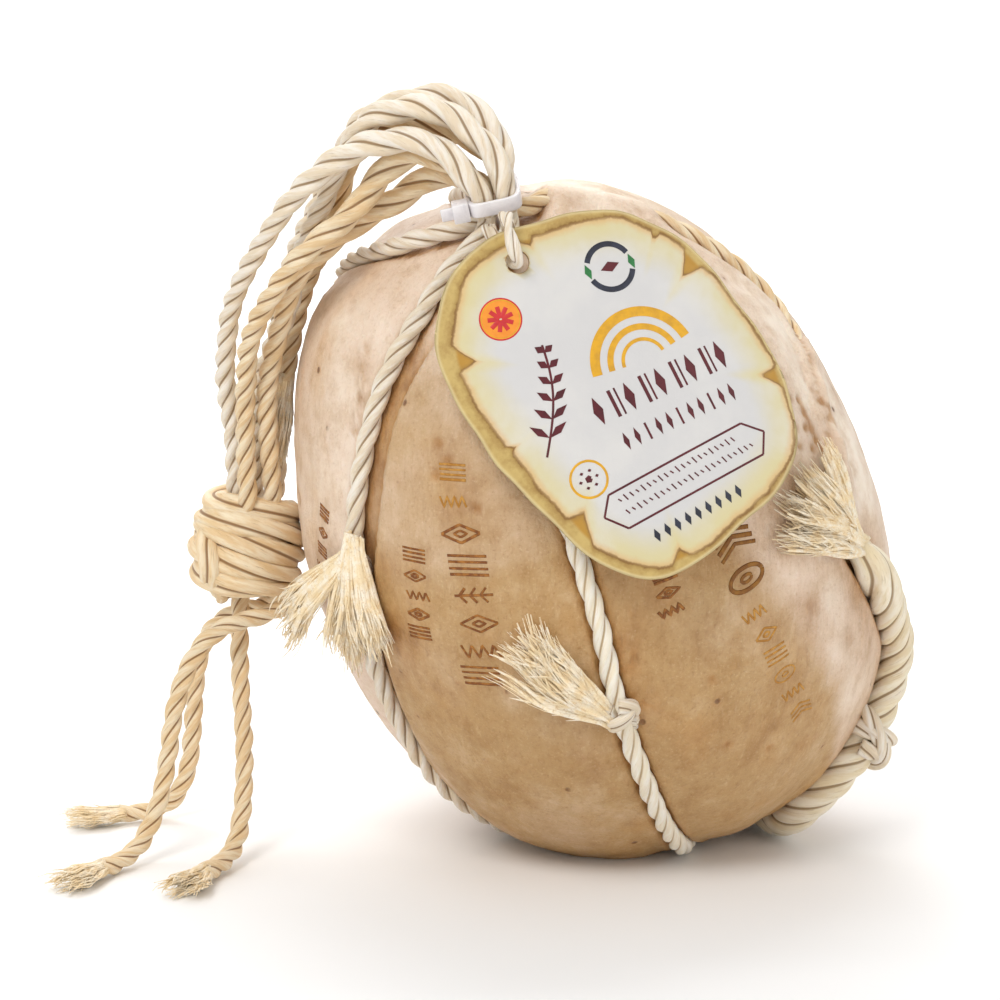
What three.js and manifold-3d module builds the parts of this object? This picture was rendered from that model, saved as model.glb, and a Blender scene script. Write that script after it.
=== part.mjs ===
// A whole provolone in its rope harness: a leaning melon of cheese, six ropes that gather in a tie at
// the crown, the hanging bundle with its big knot, and a card tag on a loop.
// Millimetres, +Z up, front towards -Y. The origin is the middle of the flat spot the cheese rests on.
import * as THREE from "three";
import { mergeVertices } from "three/addons/utils/BufferGeometryUtils.js";
import Module from "manifold-3d";

const wasm = await Module();
wasm.setup();
const { Vector3 } = THREE;
const { degToRad, lerp, smoothstep, clamp } = THREE.MathUtils;

// ---- Driving dimensions --------------------------------------------------------------------------

const GAP = 0.4; // between pieces that touch

// The cheese: a body of revolution about a leaning axis, a little boxier than an ellipsoid.
const BODY_CENTRE = new Vector3(-7.3, -3.5, 97.6);
const BODY_AXIS = leaning(26.2, 64.7);
const BODY_UP = 119.5;
const BODY_DOWN = 105;
const BODY_RADIUS = 89.5;
const BODY_POWER = 2.17;
const BODY_ROWS = 34;
const MEAN_RADIUS = 100; // for distances along the rind
// Where the hand-formed rind is fuller or flatter than that body, with the spread in degrees.
const SWELLS = [
  { azimuth: -124, latitude: 56, spread: 17, height: 4.6 },
  { azimuth: -92, latitude: 45, spread: 18, height: -3 },
];

// The ropes gather a little in front of the crown, and latitudes are counted about that point.
const GATHER_AXIS = leaning(29.6, 36);
const VIEW_RISE = 10; // the front direction looks up by this much
const VALLEY_DEPTH = 3;
const VALLEY_WIDTH = 12;
const CROWN_LATITUDE = 82; // above it the ropes leave the rind for the tie

// Ropes: twisted paper cord. Routes are [latitude, azimuth] from crown to base, azimuth 0 in front.
const ROPE_RADIUS = 3.1;
const DOUBLE_RADIUS = 6.1; // two ropes laid up together
const ROPE_SIDES = 8;
const ROPE_PROUD = 1.2; // rope centre above the bottom of its valley
const CROWN_LIFT = 2.9; // how far the ropes rise off the rind towards the tie
const DOUBLE_LIFT = 3; // and the double rope where its knot holds it off
const ROPE_FLOOR = 3.6; // lowest height of a rope centre
const HARNESS = [
  {
    name: "rope_left",
    slot: [-1, 0],
    route: [[84, -100], [75, -117], [68, -126], [60, -133], [50, -139], [20, -141], [-40, -133], [-84, -124]],
  },
  {
    name: "rope_left_front",
    slot: [-1, -1],
    route: [[84, -42], [77, -52], [70, -58], [62, -62], [50, -63], [30, -64], [-40, -63], [-84, -60]],
  },
  {
    name: "rope_centre",
    slot: [1, -1],
    route: [[84, -6], [55, -6.5], [20, -7], [0, -8.5], [-40, -8], [-84, -4]],
  },
  {
    name: "rope_right",
    slot: [1, 0],
    route: [
      [84, 108], [72, 104], [64, 102], [57, 99.5], [51, 97.5], [44.5, 97], [39, 95], [34.5, 89.5], [32, 83.5],
      [29.5, 78], [26, 72], [20, 65.5], [11, 59], [1, 54], [-5, 55], [-13, 57.5], [-25, 61], [-31, 62],
      [-36, 58], [-40, 52], [-45, 43], [-51, 31], [-60, 27], [-70, 34], [-84, 60],
    ],
  },
  {
    name: "rope_back_right",
    slot: [1, 1],
    route: [[84, 150], [72, 166], [62, 171], [52, 169], [40, 159], [20, 142], [-20, 128], [-84, 120]],
  },
  { name: "rope_back", slot: [-1, 1], route: [[84, 190], [70, 186], [55, 183], [20, 180], [-84, 180]] },
];
const DOUBLE_FROM = -3; // latitude where the right rope becomes a double one
const ROPE_END = -84;
const DOUBLE_END = -79;

// The cable tie round the neck of the bundle: six ropes in two rows of three, and the tag's loop.
const TIE_CENTRE = new Vector3(-40, -54, 209.5);
const TIE_AXIS = leaning(20, 36);
const TIE_HEIGHT = 4.4;
const TIE_WALL = 1.3;
const TIE_HEAD = { reach: 4, inset: 0.5, depth: 5.5, taller: 1.4 }; // the box that locks the strip
const TIE_STRIP = { reach: 11, inset: 3, front: 1.6, rear: 2.8, lower: 0.6 }; // its cut-off tail
const SLOT_PITCH = 6.8;
const LOOP_RADIUS = 2.1;
const LOOP_SLOT = [0.76, -2];

// The hanging bundle. Each strand is a free rope from its slot in the tie, over the arch and down to
// the knot.
const STRANDS = [
  {
    name: "strand_outer",
    slot: [1, 0],
    route: [
      [-37.5, -53.5, 220], [-39, -52, 227], [-42, -50.5, 233], [-46, -48.5, 237], [-51, -47, 239.7],
      [-57, -45.5, 241], [-64, -44, 240], [-71, -42, 238], [-77, -40, 235], [-82, -37, 231],
      [-85, -34, 225], [-89, -30, 218], [-94, -25, 208], [-99, -20, 198], [-103, -15, 189],
      [-107, -6, 178], [-109, 0, 169], [-110, 6, 159], [-111, 10, 148], [-111, 11, 138],
      [-111, 11, 126], [-111.5, 10, 111.5],
    ],
  },
  {
    name: "strand_second",
    slot: [1, -1],
    route: [
      [-38, -61, 219], [-42, -59.5, 226], [-47.5, -57.5, 231.5], [-54, -55, 236], [-62, -52.5, 238],
      [-69, -50.5, 237], [-76, -49, 235], [-80, -46.5, 231], [-84, -43, 225], [-88, -39, 218],
      [-92, -35, 209], [-96, -31, 201], [-99, -26, 193], [-102, -22, 183], [-105, -18, 173],
      [-109, -14, 163], [-113, -9.5, 153], [-115.5, -5, 143], [-116.5, 0, 129], [-117.5, 4, 114],
    ],
  },
  {
    name: "strand_low",
    slot: [-1, -1],
    route: [
      [-47, -62, 216], [-51, -61, 221.5], [-56, -59.5, 225.5], [-61, -58, 228], [-67, -56.5, 228.5],
      [-73, -55, 228], [-78, -53, 227], [-84, -50, 224], [-89, -48, 221], [-95, -45, 216],
      [-101, -41, 210], [-107, -37, 202], [-113, -32, 193], [-118, -27, 184], [-122, -22, 174],
      [-124, -18, 164], [-125, -13, 153], [-124.5, -9, 143], [-123.5, -6, 133], [-123, -5, 123],
      [-122.5, -4, 113.2],
    ],
  },
  {
    name: "strand_front",
    slot: [-1, 0],
    route: [
      [-47, -54, 216.5], [-51.5, -52.5, 220.5], [-57, -50.8, 223.5], [-63, -49, 224.5], [-69, -47, 222],
      [-74, -45, 217.5], [-79, -43.5, 211.5], [-83, -44, 206], [-89, -45, 201], [-95, -45, 196],
      [-101, -43, 190], [-107, -39, 182], [-112, -34, 174], [-116, -28, 164], [-117.5, -23, 154],
      [-118.5, -19, 145], [-118.5, -16.5, 135], [-118.5, -15, 125], [-118.5, -13.5, 112],
    ],
  },
  {
    name: "strand_inner",
    slot: [-1, 1],
    route: [
      [-49, -46.5, 217], [-54, -44.5, 217.5], [-59, -42.5, 216.8], [-62.5, -41, 214.8], [-67, -38.5, 211.5],
      [-74, -36, 207], [-81, -35, 203], [-89, -36, 197], [-94, -36, 193], [-99, -35, 188],
      [-103, -32, 180], [-106, -27, 171], [-109, -22, 161], [-111, -18, 151], [-111.7, -15.8, 140],
      [-111.7, -14, 131], [-111, -12.4, 121], [-111, -10.5, 112.2],
    ],
  },
  {
    name: "strand_back",
    slot: [1, 1],
    route: [
      [-38.5, -46.5, 220.5], [-41, -45, 224.5], [-45.5, -43.5, 227.5], [-51, -42, 229.8],
      [-57.5, -40.5, 231.3], [-65, -38.5, 232], [-72, -36, 231.5], [-78, -31.2, 228.5], [-82.3, -27.3, 224.5],
      [-85, -25, 220], [-87, -22, 213], [-89, -19, 205], [-92, -15, 197], [-96, -10, 189],
      [-99.8, -7.5, 180], [-102.8, -6, 170], [-105, -5.5, 160], [-106.6, -5.5, 150],
    ],
  },
];

// The big knot of the bundle and the tails that leave it for the floor.
const KNOT_CENTRE = new Vector3(-119.4, -1, 95.8);
const KNOT_RADIUS = 17.8;
const KNOT_HALF_HEIGHT = 16.8;
const KNOT_TURNS = 5;
const KNOT_POWER = 2.6; // its outline is a little boxier than an ellipse
const TURN_SWELL = 0.035; // how far each turn of rope stands out
const TAILS = {
  tail_front: [
    [-122, -5, 76.5], [-122.5, -5, 68], [-122, -8, 56], [-121, -14, 43], [-120, -22, 29],
    [-120, -30, 16], [-122, -39, 6.5], [-125.5, -49, 3.6], [-130, -60, 3.6],
  ],
  tail_left: [
    [-105.5, -5.5, 79], [-110.5, -10, 75.8], [-117, -13, 74], [-125, -15.5, 72], [-132.5, -17.5, 67],
    [-138.5, -19.5, 57.5], [-142, -22, 45], [-144, -25.5, 31], [-147, -31, 17], [-151.5, -38, 7],
    [-157, -46, 3.6], [-163, -55, 3.6],
  ],
  tail_back: [
    [-111, 4, 76.5], [-116, 7.5, 74], [-124, 10, 71.5], [-131.5, 11.5, 66.5], [-136.5, 13, 57],
    [-139, 14, 44], [-140, 14.5, 30], [-142, 14.5, 16.5], [-147, 13.5, 7], [-155, 11, 3.6], [-164, 8, 3.6],
  ],
};
const TAIL_TUFT = { length: 17, spread: 8, thick: 3 };
const BACK_TUFT = { length: 24, spread: 3.8, thick: 2.8 };
const FRAY = 0.08; // how uneven a frayed end is, as a share of its length

// Small knots on the ropes, with the frayed brushes that grow out of them.
const UNDER_KNOT = { sunk: 1, across: 8, along: 4.6 }; // where the ropes meet at the base
const CORE_SPAN = 16; // latitude to each side that a rope's way through its knot is cut for
const ROPE_KNOTS = [
  { name: "knot_left_front", rope: 1, latitude: 29, size: [5.4, 5.4, 6.4], core: ROPE_RADIUS },
  { name: "knot_centre", rope: 2, latitude: -1, size: [5.4, 5.4, 6.4], core: ROPE_RADIUS },
  { name: "knot_right", rope: 3, latitude: -42, size: [9.6, 9.6, 8], core: DOUBLE_RADIUS },
];
const BRUSHES = [
  { name: "brush_left_front", from: [-62, 23, 7.8], to: [-72, 2, 10], width: [5, 19], depth: [3.4, 4.4] },
  { name: "brush_centre", from: [-14.5, 4.5, 3.4], to: [-25.5, 22, 3.8], width: [3.6, 15], depth: [2.6, 3] },
  { name: "brush_right", from: [50, 4, 4.4], to: [39, 21.5, 4.4], width: [5, 11], depth: [3.4, 3.4] },
];

// The card tag: a rounded sheet, bent a little round the cheese.
const TAG_HOLE = new Vector3(-33.5, -81.7, 194.5);
const TAG_DOWN = new Vector3(0.447, -0.228, -0.865).normalize();
const TAG_FACE = new Vector3(0.195, -0.918, 0.344).normalize();
const TAG_MIDDLE = [12.4, 42.8]; // across and down from the hole
const TAG_HALF = [45.3, 51.2];
const TAG_POWER = 2.62;
const TAG_SKEW = 0.082;
const TAG_POINT = { turn: 1.86, width: 0.4, reach: 0.2 }; // the torn point at its foot
const TAG_RIPPLES = [{ share: 0.006, waves: 9, start: 0 }, { share: 0.004, waves: 17, start: 1 }];
const TAG_BEND = 200;
const TAG_THICKNESS = 0.9;
const TAG_HOLE_RADIUS = 3.4;
const LOOP_ROUTE = [
  [-37, -74, 206.8], [-36.8, -80, 207.7], [-36, -85, 205.2], [-34.8, -87.4, 200.4],
  [-33.7, -87, 196.4], [-33.5, -82, 194.6], [-34.2, -77.5, 193.8], [-36.4, -75, 196], [-39.8, -72.8, 200],
  [-42.2, -69.8, 203.2],
];

// ---- Helpers -------------------------------------------------------------------------------------

function leaning(lean, bearing) {
  // A unit vector that leans from upright, its bearing counted from the front (-Y) to the left (-X).
  const sine = Math.sin(degToRad(lean));
  const turn = degToRad(bearing);
  return new Vector3(-sine * Math.sin(turn), -sine * Math.cos(turn), Math.cos(degToRad(lean)));
}

function points(rows) {
  return rows.map((row) => new Vector3(...row));
}

function bare(geometry) {
  // One shared vertex at each place, without normals or texture coordinates.
  geometry.deleteAttribute("normal");
  geometry.deleteAttribute("uv");
  return mergeVertices(geometry, 1e-5);
}

function warp(geometry, place) {
  // Moves every vertex to place(position, u, v).
  const position = geometry.attributes.position;
  const uv = geometry.attributes.uv;
  const corner = new Vector3();
  for (let i = 0; i < position.count; i++) {
    const moved = place(corner.fromBufferAttribute(position, i), uv.getX(i), uv.getY(i));
    position.setXYZ(i, moved.x, moved.y, moved.z);
  }
  return bare(geometry);
}

function tube(curve, radius, steps, sides = ROPE_SIDES) {
  const section = new THREE.Shape();
  for (let i = 0; i < sides; i++) {
    const turn = (2 * Math.PI * i) / sides;
    section[i ? "lineTo" : "moveTo"](radius * Math.cos(turn), radius * Math.sin(turn));
  }
  return bare(new THREE.ExtrudeGeometry(section, { steps, extrudePath: curve, bevelEnabled: false }));
}

function smooth(rows) {
  return new THREE.CatmullRomCurve3(Array.isArray(rows[0]) ? points(rows) : rows, false, "centripetal");
}

function cord(rows, radius = ROPE_RADIUS, clearance = 0) {
  // A step every two and a half diameters of a single rope, and one diameter of the tag's loop.
  const curve = smooth(rows);
  const step = radius < ROPE_RADIUS ? 2 * radius : 5 * ROPE_RADIUS;
  return tube(curve, radius + clearance, Math.ceil(curve.getLength() / step));
}

function ellipsoid(centre, axis, across, along, wide = 16, high = 10) {
  const turn = new THREE.Quaternion().setFromUnitVectors(new Vector3(0, 1, 0), axis);
  return warp(new THREE.SphereGeometry(1, wide, high), (p) =>
    p.multiply(new Vector3(across, along, across)).applyQuaternion(turn).add(centre));
}

function solid(geometry) {
  const whole = geometry.index ? geometry : mergeVertices(geometry);
  return new wasm.Manifold(new wasm.Mesh({
    numProp: 3,
    vertProperties: new Float32Array(whole.attributes.position.array),
    triVerts: new Uint32Array(whole.index.array),
  }));
}

function surfaceOf(whole) {
  const mesh = whole.getMesh();
  const result = new THREE.BufferGeometry();
  result.setAttribute("position", new THREE.BufferAttribute(mesh.vertProperties, 3));
  result.setIndex(new THREE.BufferAttribute(mesh.triVerts, 1));
  return result;
}

function cut(geometry, ...tools) {
  return surfaceOf(tools.reduce((rest, tool) => rest.subtract(solid(tool)), solid(geometry)));
}

function unite(geometry, ...others) {
  return surfaceOf(others.reduce((whole, other) => whole.add(solid(other)), solid(geometry)));
}

const group = new THREE.Group();

function piece(name, geometry, colour, roughness) {
  const material = new THREE.MeshStandardMaterial({ color: colour, roughness, metalness: 0 });
  const mesh = new THREE.Mesh(geometry, material);
  mesh.name = name;
  group.add(mesh);
}

const RIND = ["#d9b58c", 0.55];
const RAFFIA = ["#e2d6b4", 0.8];
const CARD = ["#dcdacf", 0.5];
const PLASTIC = ["#e9e6e2", 0.3];

// ---- The cheese's surface ------------------------------------------------------------------------

const rise = degToRad(VIEW_RISE);
const FRONT = new Vector3(0, -Math.cos(rise), Math.sin(rise)).projectOnPlane(GATHER_AXIS).normalize();
const SIDE = new Vector3().crossVectors(GATHER_AXIS, FRONT);

function direction(azimuth, latitude) {
  const turn = degToRad(azimuth);
  const up = degToRad(latitude);
  return new Vector3()
    .addScaledVector(SIDE, Math.cos(up) * Math.sin(turn))
    .addScaledVector(FRONT, Math.cos(up) * Math.cos(turn))
    .addScaledVector(GATHER_AXIS, Math.sin(up));
}

function formRadius(way) {
  const along = way.dot(BODY_AXIS);
  const across = Math.sqrt(Math.max(0, 1 - along * along));
  const reach = along > 0 ? BODY_UP : BODY_DOWN;
  const sum = (across / BODY_RADIUS) ** BODY_POWER + (Math.abs(along) / reach) ** BODY_POWER;
  return sum ** (-1 / BODY_POWER);
}

function swell(way) {
  return SWELLS.reduce((sum, { azimuth, latitude, spread, height }) => {
    const away = way.angleTo(direction(azimuth, latitude)) / degToRad(spread);
    return sum + height * Math.exp(-(away ** 2));
  }, 0);
}

function azimuthAt(route, latitude) {
  // A smooth curve through the route's rows, which run downwards.
  const last = route.length - 1;
  if (latitude >= route[0][0]) return route[0][1];
  if (latitude <= route[last][0]) return route[last][1];
  const i = route.findIndex((row) => row[0] < latitude) - 1;
  const slope = (k) => {
    const [a, b] = [route[Math.max(k - 1, 0)], route[Math.min(k + 1, last)]];
    return (b[1] - a[1]) / (b[0] - a[0]);
  };
  const span = route[i + 1][0] - route[i][0];
  const t = (latitude - route[i][0]) / span;
  const ease = t * t * (3 - 2 * t);
  return lerp(route[i][1], route[i + 1][1], ease)
    + span * (t * (1 - t) ** 2 * slope(i) - t * t * (1 - t) * slope(i + 1));
}

function arc(from, to, latitude) {
  // Millimetres along a circle of latitude, the short way round.
  const turn = ((to - from + 540) % 360) - 180;
  return degToRad(turn) * MEAN_RADIUS * Math.cos(degToRad(latitude));
}

function skinRadius(azimuth, latitude) {
  // The rind without the narrow rope seats: the plain form with a broad valley along each rope.
  const fade = smoothstep(Math.abs(latitude), 58, 84);
  const valleys = HARNESS.map(({ route }) =>
    Math.exp(-((arc(azimuth, azimuthAt(route, latitude), latitude) / VALLEY_WIDTH) ** 2)));
  const way = direction(azimuth, latitude);
  return formRadius(way) + swell(way) - VALLEY_DEPTH * (1 - fade) * Math.max(...valleys);
}

function onSkin(azimuth, latitude, height = 0) {
  const reach = skinRadius(azimuth, latitude) + height;
  return direction(azimuth, latitude).multiplyScalar(reach).add(BODY_CENTRE);
}

function floorReach(way, height) {
  // How far a ray from the centre may go before it is lower than this height.
  return way.z < 0 ? (BODY_CENTRE.z - height) / -way.z : Infinity;
}

function ropeRadius(rope, latitude) {
  return HARNESS[rope].name === "rope_right" && latitude < DOUBLE_FROM ? DOUBLE_RADIUS : ROPE_RADIUS;
}

function ropeReach(rope, latitude) {
  // Distance of the rope's centre from the cheese's centre.
  const azimuth = azimuthAt(HARNESS[rope].route, latitude);
  const radius = ropeRadius(rope, latitude);
  const standsOff = radius > ROPE_RADIUS ? DOUBLE_LIFT * smoothstep(-latitude, 20, 32) : 0;
  const rises = CROWN_LIFT * smoothstep(latitude, 70, CROWN_LATITUDE);
  const lift = ROPE_PROUD + radius - ROPE_RADIUS + rises + standsOff;
  const floor = floorReach(direction(azimuth, latitude), ROPE_FLOOR + radius - ROPE_RADIUS);
  return Math.min(skinRadius(azimuth, latitude) + lift, floor);
}

function ropePoint(rope, latitude, height = 0) {
  const azimuth = azimuthAt(HARNESS[rope].route, latitude);
  return direction(azimuth, latitude).multiplyScalar(ropeReach(rope, latitude) + height).add(BODY_CENTRE);
}

function ropeRun(rope, from, to, step = 6) {
  const count = Math.max(2, Math.round(Math.abs(to - from) / step));
  return Array.from({ length: count + 1 }, (_, i) => ropePoint(rope, lerp(from, to, i / count)));
}

// ---- Cheese --------------------------------------------------------------------------------------

// Between two ropes the columns stand at the rope, at its seat's floor, wall and lip, and in the open.
const COLUMNS = 10;
const SEAT_OFFSETS = [0, 2.95, 4.4];
const COLUMN_SHARES = [0, 0.52, 0.75, 0.9]; // the most of half a sector that each of them may take
const SEAT_WALL = 0.84; // depth of the seat's wall, in rope radii
const SEAT_CLEARANCE = 0.55;
const LIP = 9;

function columnPlace(u, latitude) {
  const total = HARNESS.length * COLUMNS;
  const place = Math.round(clamp(u, 0, 1) * total) % total;
  const sector = Math.floor(place / COLUMNS);
  const column = place % COLUMNS;
  const next = (sector + 1) % HARNESS.length;
  const start = azimuthAt(HARNESS[sector].route, latitude);
  let end = azimuthAt(HARNESS[next].route, latitude);
  end += end < start ? 360 : 0;
  const fromStart = column <= COLUMNS / 2;
  const rope = fromStart ? sector : next;
  const index = fromStart ? column : COLUMNS - column;
  const half = (end - start) / 2;
  const scale = ropeRadius(rope, latitude) / ROPE_RADIUS;
  const nearby = azimuthAt(HARNESS[rope].route, latitude + 1) - azimuthAt(HARNESS[rope].route, latitude - 1);
  const slant = Math.hypot(1, (nearby / 2) * Math.cos(degToRad(latitude)));
  const perMillimetre = 1 / arc(0, 1, latitude);
  const offsets = [...SEAT_OFFSETS.map((x) => x * scale * slant), LIP * Math.max(1, scale * 0.9) * slant];
  const fixed = offsets.map((x, i) => Math.min(x * perMillimetre, COLUMN_SHARES[i] * half));
  const angles = [...fixed, (fixed[3] + half) / 2, half];
  return { rope, index, azimuth: fromStart ? start + angles[index] : end - angles[index] };
}

function cheese() {
  const form = new THREE.SphereGeometry(1, HARNESS.length * COLUMNS, BODY_ROWS);
  return warp(form, (p, u, v) => {
    const latitude = 180 * v - 90;
    if (Math.abs(latitude) > 89.9) return onSkin(0, latitude);
    const { rope, index, azimuth } = columnPlace(u, latitude);
    const way = direction(azimuth, latitude);
    let reach = skinRadius(azimuth, latitude);
    if (index < 2) {
      const radius = ropeRadius(rope, latitude);
      const depth = index ? SEAT_WALL * radius : radius + GAP;
      reach = Math.min(reach, ropeReach(rope, latitude) - depth - SEAT_CLEARANCE);
    }
    return way.multiplyScalar(Math.min(reach, floorReach(way, 0))).add(BODY_CENTRE);
  });
}

// ---- Harness ropes -------------------------------------------------------------------------------

const TIE_DEEP = new Vector3(0, 1, 0).projectOnPlane(TIE_AXIS).normalize();
const TIE_ACROSS = new Vector3().crossVectors(TIE_DEEP, TIE_AXIS);

function inTie(across, deep, height) {
  return TIE_CENTRE.clone()
    .addScaledVector(TIE_ACROSS, across)
    .addScaledVector(TIE_DEEP, deep)
    .addScaledVector(TIE_AXIS, height);
}

function slotPoint([across, deep], height) {
  return inTie((across * SLOT_PITCH) / 2, deep * SLOT_PITCH, height);
}

function crownRun(rope) {
  const { slot } = HARNESS[rope];
  return [slotPoint(slot, -0.2), slotPoint(slot, -3.4)];
}

function strandPoints({ slot, route }) {
  return [slotPoint(slot, 0.2), slotPoint(slot, 4.4), ...points(route)];
}

function loopPoints() {
  const [across, deep] = LOOP_SLOT;
  const leg = (side) => [slotPoint([side * across, deep], -1.2), slotPoint([side * across, deep - 0.2], -3)];
  return [...leg(1), ...points(LOOP_ROUTE), ...leg(-1).reverse()];
}

function harnessRope(rope, clearance) {
  const end = HARNESS[rope].name === "rope_right" ? DOUBLE_FROM + 5 : ROPE_END;
  return cord([...crownRun(rope), ...ropeRun(rope, CROWN_LATITUDE - 3, end)], ROPE_RADIUS, clearance);
}

const doubleRope = ropeRun(3, DOUBLE_FROM - 4, DOUBLE_END, 5);

// ---- Knots and brushes ---------------------------------------------------------------------------

function ropeKnot({ rope, latitude, size: [across, , along], core }, extra = 0) {
  const centre = ropePoint(rope, latitude, core === ROPE_RADIUS ? 0.8 : 0.4);
  const axis = ropePoint(rope, latitude + 3).sub(ropePoint(rope, latitude - 3)).normalize();
  return ellipsoid(centre, axis, across + extra, along + extra);
}

function ropeCore({ rope, latitude, core }) {
  // What the rope needs to pass through its knot, with clearance.
  return tube(smooth(ropeRun(rope, latitude + CORE_SPAN, latitude - CORE_SPAN, 4)), core + 1.4 * GAP, 12);
}

function brush({ from, to, width, depth }) {
  // A flat fan along the rind: a cylinder whose rings widen, with an uneven end.
  return warp(new THREE.CylinderGeometry(1, 1, 1, 12, 4), (p) => {
    const t = clamp(p.y + 0.5, 0, 1);
    const rough = t > 0.99 ? FRAY * Math.sin(5 * Math.atan2(p.z, p.x)) : 0;
    const run = (k) => from.map((start, i) => lerp(start, to[i], k));
    const [azimuth, latitude, height] = run(t + rough);
    const here = onSkin(azimuth, latitude, height);
    const along = onSkin(...run(t + 0.05)).sub(onSkin(...run(t - 0.05))).normalize();
    const out = direction(azimuth, latitude).projectOnPlane(along).normalize();
    const across = new Vector3().crossVectors(along, out);
    return here
      .addScaledVector(across, p.x * lerp(width[0], width[1], t ** 0.8))
      .addScaledVector(out, p.z * lerp(depth[0], depth[1], t));
  });
}

function tuft(route, { length, spread, thick }) {
  // The frayed end of a free rope: a flattened cone that carries the rope's last direction on.
  const [before, last] = points(route.slice(-2));
  const along = last.clone().sub(before).normalize();
  const across = new Vector3().crossVectors(along, new Vector3(0, 0, 1)).normalize();
  const out = new Vector3().crossVectors(across, along);
  return warp(new THREE.CylinderGeometry(1, 1, 1, 10, 2), (p) => {
    const t = clamp(p.y + 0.5, 0, 1);
    const rough = t > 0.99 ? FRAY * Math.sin(3 * Math.atan2(p.z, p.x)) : 0;
    return last.clone()
      .addScaledVector(along, GAP + length * (t + rough))
      .addScaledVector(across, p.x * lerp(ROPE_RADIUS, spread, t))
      .addScaledVector(out, p.z * lerp(ROPE_RADIUS, thick, t));
  });
}

function bigKnot() {
  // Turns of rope lie round an upright core, so the outline swells at each turn.
  const steps = KNOT_TURNS * 3;
  const outline = [new THREE.Vector2(0, -KNOT_HALF_HEIGHT)];
  for (let i = 0; i <= steps; i++) {
    const up = lerp(-0.94, 0.94, i / steps);
    const bulge = 1 + TURN_SWELL * Math.cos((2 * Math.PI * KNOT_TURNS * i) / steps);
    outline.push(new THREE.Vector2(
      KNOT_RADIUS * (1 - Math.abs(up) ** KNOT_POWER) ** (1 / KNOT_POWER) * bulge,
      KNOT_HALF_HEIGHT * up,
    ));
  }
  outline.push(new THREE.Vector2(0, KNOT_HALF_HEIGHT));
  const turned = new THREE.LatheGeometry(outline, 18);
  turned.rotateX(Math.PI / 2);
  turned.translate(KNOT_CENTRE.x, KNOT_CENTRE.y, KNOT_CENTRE.z);
  return bare(turned);
}

// ---- Tie -----------------------------------------------------------------------------------------

function tieBlock(left, right, front, back, height) {
  const box = new THREE.BoxGeometry(right - left, back - front, height);
  return warp(box.translate((left + right) / 2, (front + back) / 2, 0), (p) => inTie(p.x, p.y, p.z));
}

function ropesInTie() {
  return [
    ...HARNESS.map((_, rope) => harnessRope(rope, GAP)),
    ...STRANDS.map((strand) => cord(strandPoints(strand), ROPE_RADIUS, GAP)),
    cord(loopPoints(), LOOP_RADIUS, GAP),
  ];
}

function tieBand() {
  const half = SLOT_PITCH / 2 + ROPE_RADIUS + GAP;
  const back = SLOT_PITCH + ROPE_RADIUS + GAP;
  const outer = half + TIE_WALL;
  const ring = cut(
    tieBlock(-outer, outer, -back - TIE_WALL, back + TIE_WALL, TIE_HEIGHT),
    tieBlock(-half, half, -back, back, TIE_HEIGHT + 2),
  );
  const { reach, inset, depth, taller } = TIE_HEAD;
  const head = tieBlock(-outer - reach, inset - outer, -back, depth - back, TIE_HEIGHT + taller);
  const { front, rear, lower } = TIE_STRIP;
  const strip = tieBlock(
    -outer - TIE_STRIP.reach, -outer - TIE_STRIP.inset, front - back, rear - back, TIE_HEIGHT - lower);
  return cut(unite(ring, head, strip), ...ropesInTie());
}

// ---- Tag -----------------------------------------------------------------------------------------

const TAG_ACROSS = new Vector3().crossVectors(TAG_FACE, TAG_DOWN);

function tagPlace(across, down, out) {
  // A point of the bent card, counted from its hole.
  const turn = (across - TAG_MIDDLE[0]) / TAG_BEND;
  const radius = TAG_BEND + out;
  return TAG_HOLE.clone()
    .addScaledVector(TAG_ACROSS, TAG_MIDDLE[0] + radius * Math.sin(turn))
    .addScaledVector(TAG_DOWN, down)
    .addScaledVector(TAG_FACE, radius * Math.cos(turn) - TAG_BEND);
}

function tagEdge(turn) {
  const [c, s] = [Math.cos(turn), Math.sin(turn)];
  const sum = Math.abs(c / TAG_HALF[0]) ** TAG_POWER + Math.abs(s / TAG_HALF[1]) ** TAG_POWER;
  const ragged = TAG_RIPPLES.reduce((total, { share, waves, start }) =>
    total + share * Math.sin(waves * turn + start), 0);
  const off = Math.atan2(Math.sin(turn - TAG_POINT.turn), Math.cos(turn - TAG_POINT.turn));
  const foot = TAG_POINT.reach * Math.exp(-((off / TAG_POINT.width) ** 2));
  return sum ** (-1 / TAG_POWER) * (1 + TAG_SKEW * Math.sin(2 * turn) + foot + ragged);
}

function tagCard() {
  const rim = [[0, 0], [0.4, 0], [0.75, 0], [1, 0], [1, 1], [0.75, 1], [0.4, 1], [0, 1]];
  const disc = new THREE.LatheGeometry(rim.map(([r, z]) => new THREE.Vector2(r, z)), 40);
  const card = warp(disc, (p) => {
    const reach = Math.hypot(p.x, p.z);
    const turn = Math.atan2(p.z, p.x);
    const edge = reach ? tagEdge(turn) * reach : 0;
    const [across, down] = [TAG_MIDDLE[0] + edge * Math.cos(turn), TAG_MIDDLE[1] + edge * Math.sin(turn)];
    return tagPlace(across, down, p.y * TAG_THICKNESS);
  });
  const drill = new THREE.CylinderGeometry(TAG_HOLE_RADIUS, TAG_HOLE_RADIUS, 8, 16);
  const turn = new THREE.Quaternion().setFromUnitVectors(new Vector3(0, 1, 0), TAG_FACE);
  return cut(card, warp(drill, (p) => p.applyQuaternion(turn).add(tagPlace(0, 0, 0))));
}

// ---- Assembly ------------------------------------------------------------------------------------

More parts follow.
